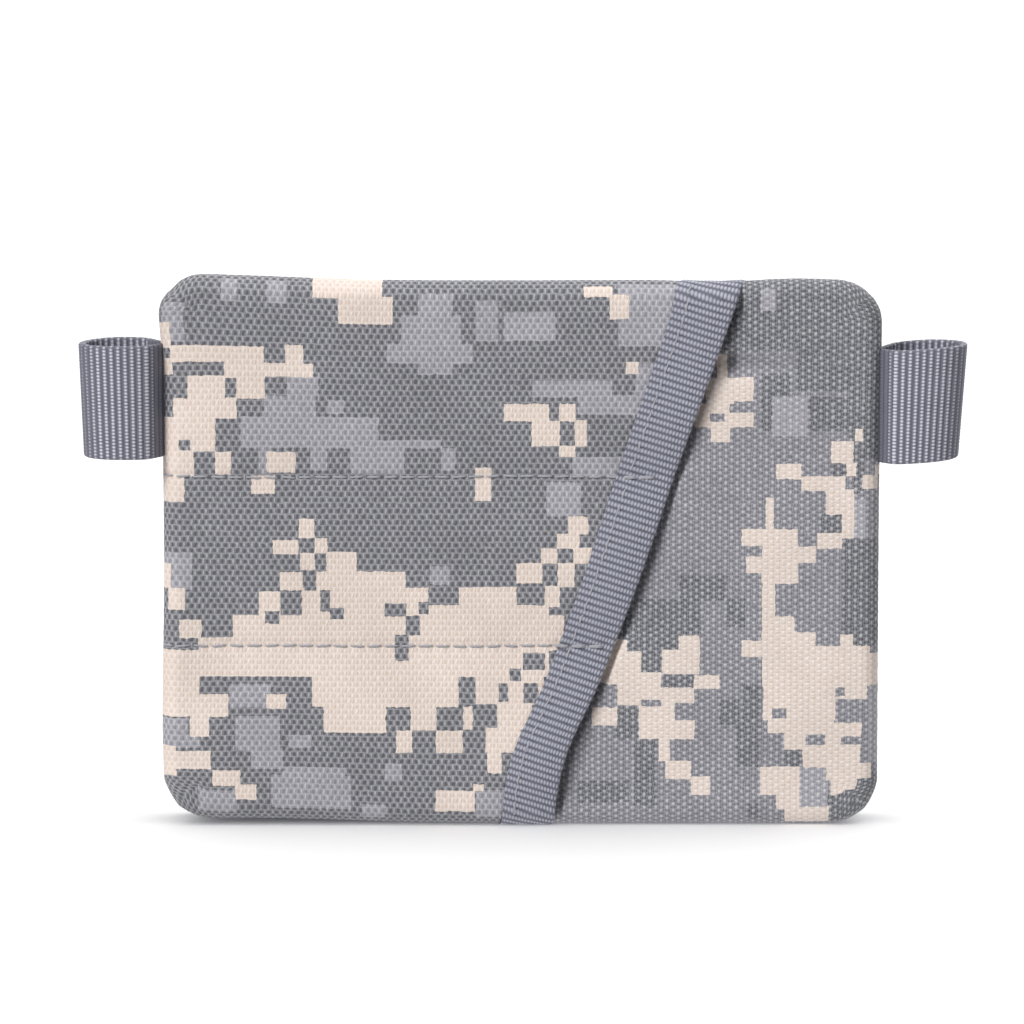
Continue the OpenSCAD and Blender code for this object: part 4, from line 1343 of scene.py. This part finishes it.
def zip_coil(name, node, side, shift):
    """Nylon coil of one side of the zip: flattened turns whose heads meet the other side's."""
    low, high = span(node)
    overlap = 0.35
    wide = high[2] - low[2] + overlap
    tall = high[1] - low[1] - 0.1
    middle_z = (low[2] + high[2]) / 2 + side * overlap / 2
    middle_y = (low[1] + high[1]) / 2
    end_gap = 1
    turns = (high[0] - low[0] - 2 * end_gap) / COIL_PITCH
    t = np.linspace(0, 2 * PI * turns, int(turns * 26))
    x = low[0] + end_gap + shift + t / (2 * PI) * COIL_PITCH
    z = middle_z + side * (wide / 2 - COIL_WIRE) * np.cos(t)
    y = middle_y + (tall / 2 - COIL_WIRE) * np.sin(t)
    points, faces = tube(bent_wire(np.stack([x, y, z], -1), COIL_WIRE, (1, 0, 0), 8))
    mesh_piece(name, points, faces, points, coil_nylon, "rear_leaf", "zip_chain", [node])


def zip_tape(name, node, side):
    """Woven tape of one side of the zip, under the panels and round the leaf's side edges."""
    low, high = span(node)
    under = REAR_SKIN + 0.02
    thick = 0.36
    a = flat_steps(rear.half_w, rear, 0.9, 3.0)
    across, up = np.meshgrid(a, np.linspace(low[2], high[2], 12) - rear.mid_z)
    face = rear_point(across, up, -under)[0]
    back = rear_point(across, up, -under - thick)[0]
    slab_piece(name, face, back, cloth_places(across, up, rear), zip_tape_cloth, "rear_leaf",
               "zip_tape", [node])
    side_gap = 3
    x = np.arange(-rear.half_w + side_gap, rear.half_w - side_gap, 2.0)
    row_b = np.full_like(x, (low[2] + high[2]) / 2 - rear.mid_z - side * 2.2)
    curved_row(name + "_seam", lambda shift: rear_point(x + shift, row_b, 0.04 - under), length=1.6,
               radius=0.12, seed=78 + side, material=dark_thread, body="rear_leaf")


def rear_pieces():
    """Everything on the rear leaf but its lining and pads."""
    rear_panel("rear_lower_cloth", "rear_lower_panel", ZIP_LOW, 1, 74)
    rear_panel("rear_upper_cloth", "rear_upper_panel", ZIP_HIGH, -1, 75)
    for index, name in enumerate(("lower", "upper")):
        side = 2 * index - 1
        zip_tape(f"zip_tape_{name}_cloth", f"zip_tape_{name}", side)
        zip_coil(f"zip_coil_{name}", f"zip_chain_{name}", -side, index * COIL_PITCH / 2)
    bag = cloth_slab("coin_bag_cloth", "coin_pocket_bag", 3.0, lining_cloth, "rear_leaf",
                     "lining_cloth", step=1.6, waves=0.08, seed=76, proud=-0.5)


# ---------------------------------------------------------------- build

front_shell()
pocket_panel()
edge_tape()
slot_row("slot_row_upper", "upper_slot_stitching", ROW_HEIGHTS[0], 51)
slot_row("slot_row_lower", "lower_slot_stitching", ROW_HEIGHTS[1], 52)
tape_seam()
webbing_loop(-1, "left_loop_webbing", "left_webbing_loop", "left_loop",
             low_reach=0.945, stretch=0.7, drop=0.0, lean=0.0)
webbing_loop(1, "right_loop_webbing", "right_webbing_loop", "right_loop",
             low_reach=0.905, stretch=1.4, drop=1.05, lean=1.0)

lining("front_lining_cloth", "front_lining", "front_leaf", 1, 41)
lining("middle_front_cloth", "middle_front_lining", "middle_leaf", -1, 42, seam_in=4.2)
lining("middle_rear_cloth", "middle_rear_lining", "middle_leaf", 1, 43, seam_in=4.2)
lining("rear_lining_cloth", "rear_lining", "rear_leaf", -1, 44)
for index, step_name in enumerate(("upper", "middle", "lower")):
    pocket = f"card_pocket_{step_name}"
    flat_pocket(pocket, pocket, "middle_leaf", -1, 45 + index)
flat_pocket("bill_pocket", "bill_pocket_panel", "middle_leaf", 1, 48, opens_up=True)
id_window()
pad("front_hook_tape", "front_hook_pad", "front_leaf", 1, True, 81)
pad("middle_loop_tape", "middle_loop_pad", "middle_leaf", -1, False, 82)
pad("middle_hook_tape", "middle_hook_pad", "middle_leaf", 1, True, 83)
pad("rear_loop_tape", "rear_loop_pad", "rear_leaf", -1, False, 84)
middle_binding()
fold_strip("upper_fold_tape", "upper_fold_strip",
           from_y=-1.2, to_y=-0.05, base_z=92.0, top_z=95.8)
fold_strip("lower_fold_tape", "lower_fold_strip",
           from_y=2.15, to_y=3.35, base_z=4.0, top_z=0.1)
rear_pieces()

KEPT_NODES = {
    "middle_board": board_stuff, "rear_board": board_stuff,
    "zip_stops": zip_metal, "zip_slider": zip_metal, "zip_puller": zip_metal,
}
for node, material in KEPT_NODES.items():
    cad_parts[node].data.materials.clear()
    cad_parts[node].data.materials.append(material)

# ---------------------------------------------------------------- stage, light and camera

WORLD_LIGHT = 0.46
KEY_LIGHT = 2.4
TOP_LIGHT = 0.9
REAR_LIGHT = 1.3
FLOOR_LIGHT = 1.95
BOUNCE_LIGHT = 1.15
# The camera's place round the point that it looks at, in metres
ELEVATION = math.radians(6)
DISTANCE = 1.0
AIM = Vector((-0.00158, FRONT_FACE_Y * MM, 0.0557))


def stage_floor():
    """Wide pale floor that the wallet stands on."""
    half = 20.0
    corners = [(-half, -half, 0), (half, -half, 0), (half, half, 0), (-half, half, 0)]
    mesh = bpy.data.meshes.new("floor")
    mesh.from_pydata(corners, [], [(0, 1, 2, 3)])
    nodes = Nodes("floor_paper", roughness=0.9)
    tone = nodes.noise(nodes.where(), 3.0)
    mesh.materials.append(nodes.finish(nodes.mix(tone, (0.93, 0.93, 0.935, 1), (0.95, 0.95, 0.955, 1))))
    floor = bpy.data.objects.new("floor", mesh)
    floor.visible_diffuse = False
    bpy.context.scene.collection.objects.link(floor)
    return floor


def sun(name, from_direction, spread, strength, floor=None, lights_floor=True):
    """Distant light from a direction, with soft shadows as wide as its spread in degrees.
    With a floor, it lights only the floor, or lights everything but the floor and shines through
    it."""
    light = bpy.data.lights.new(name, "SUN")
    light.energy = strength
    light.angle = math.radians(spread)
    lamp = bpy.data.objects.new(name, light)
    lamp.rotation_mode = "QUATERNION"
    lamp.rotation_quaternion = Vector(from_direction).to_track_quat("Z", "Y")
    bpy.context.scene.collection.objects.link(lamp)
    if floor:
        receivers = bpy.data.collections.new(name + "_receivers")
        receivers.objects.link(floor)
        state = "INCLUDE" if lights_floor else "EXCLUDE"
        receivers.collection_objects[0].light_linking.link_state = state
        lamp.light_linking.receiver_collection = receivers
        if not lights_floor:
            lamp.light_linking.blocker_collection = receivers


def studio(floor):
    """Soft light from the upper left, a wide one overhead, a wash for the floor, light thrown back
    by the floor and a white surround."""
    world = bpy.data.worlds.new("studio")
    world.use_nodes = True
    surround = world.node_tree.nodes["Background"]
    surround.inputs["Color"].default_value = (1, 1, 1, 1)
    surround.inputs["Strength"].default_value = WORLD_LIGHT
    bpy.context.scene.world = world
    sun("key", (-0.75, -0.8, 0.85), 18, KEY_LIGHT, floor, lights_floor=False)
    sun("overhead", (0.1, 0.25, 1.0), 80, TOP_LIGHT)
    sun("behind", (0.5, 0.9, 0.55), 50, REAR_LIGHT, floor, lights_floor=False)
    sun("bounce", (0.0, -0.1, -1.0), 60, BOUNCE_LIGHT, floor, lights_floor=False)
    sun("floor_wash", (0.0, -0.15, 1.0), 150, FLOOR_LIGHT, floor)
    bpy.context.scene.view_settings.view_transform = "Standard"

def photo_camera():
    """Long lens, level with the wallet and a little above it."""
    camera = bpy.data.cameras.new("camera")
    camera.lens = 200
    camera.sensor_width = 36
    back = Vector((0, -math.cos(ELEVATION), math.sin(ELEVATION)))
    eye = bpy.data.objects.new("camera", camera)
    eye.location = AIM + back * DISTANCE
    eye.rotation_mode = "QUATERNION"
    eye.rotation_quaternion = (-back).to_track_quat("-Z", "Y")
    bpy.context.scene.collection.objects.link(eye)
    bpy.context.scene.camera = eye


studio(stage_floor())
photo_camera()
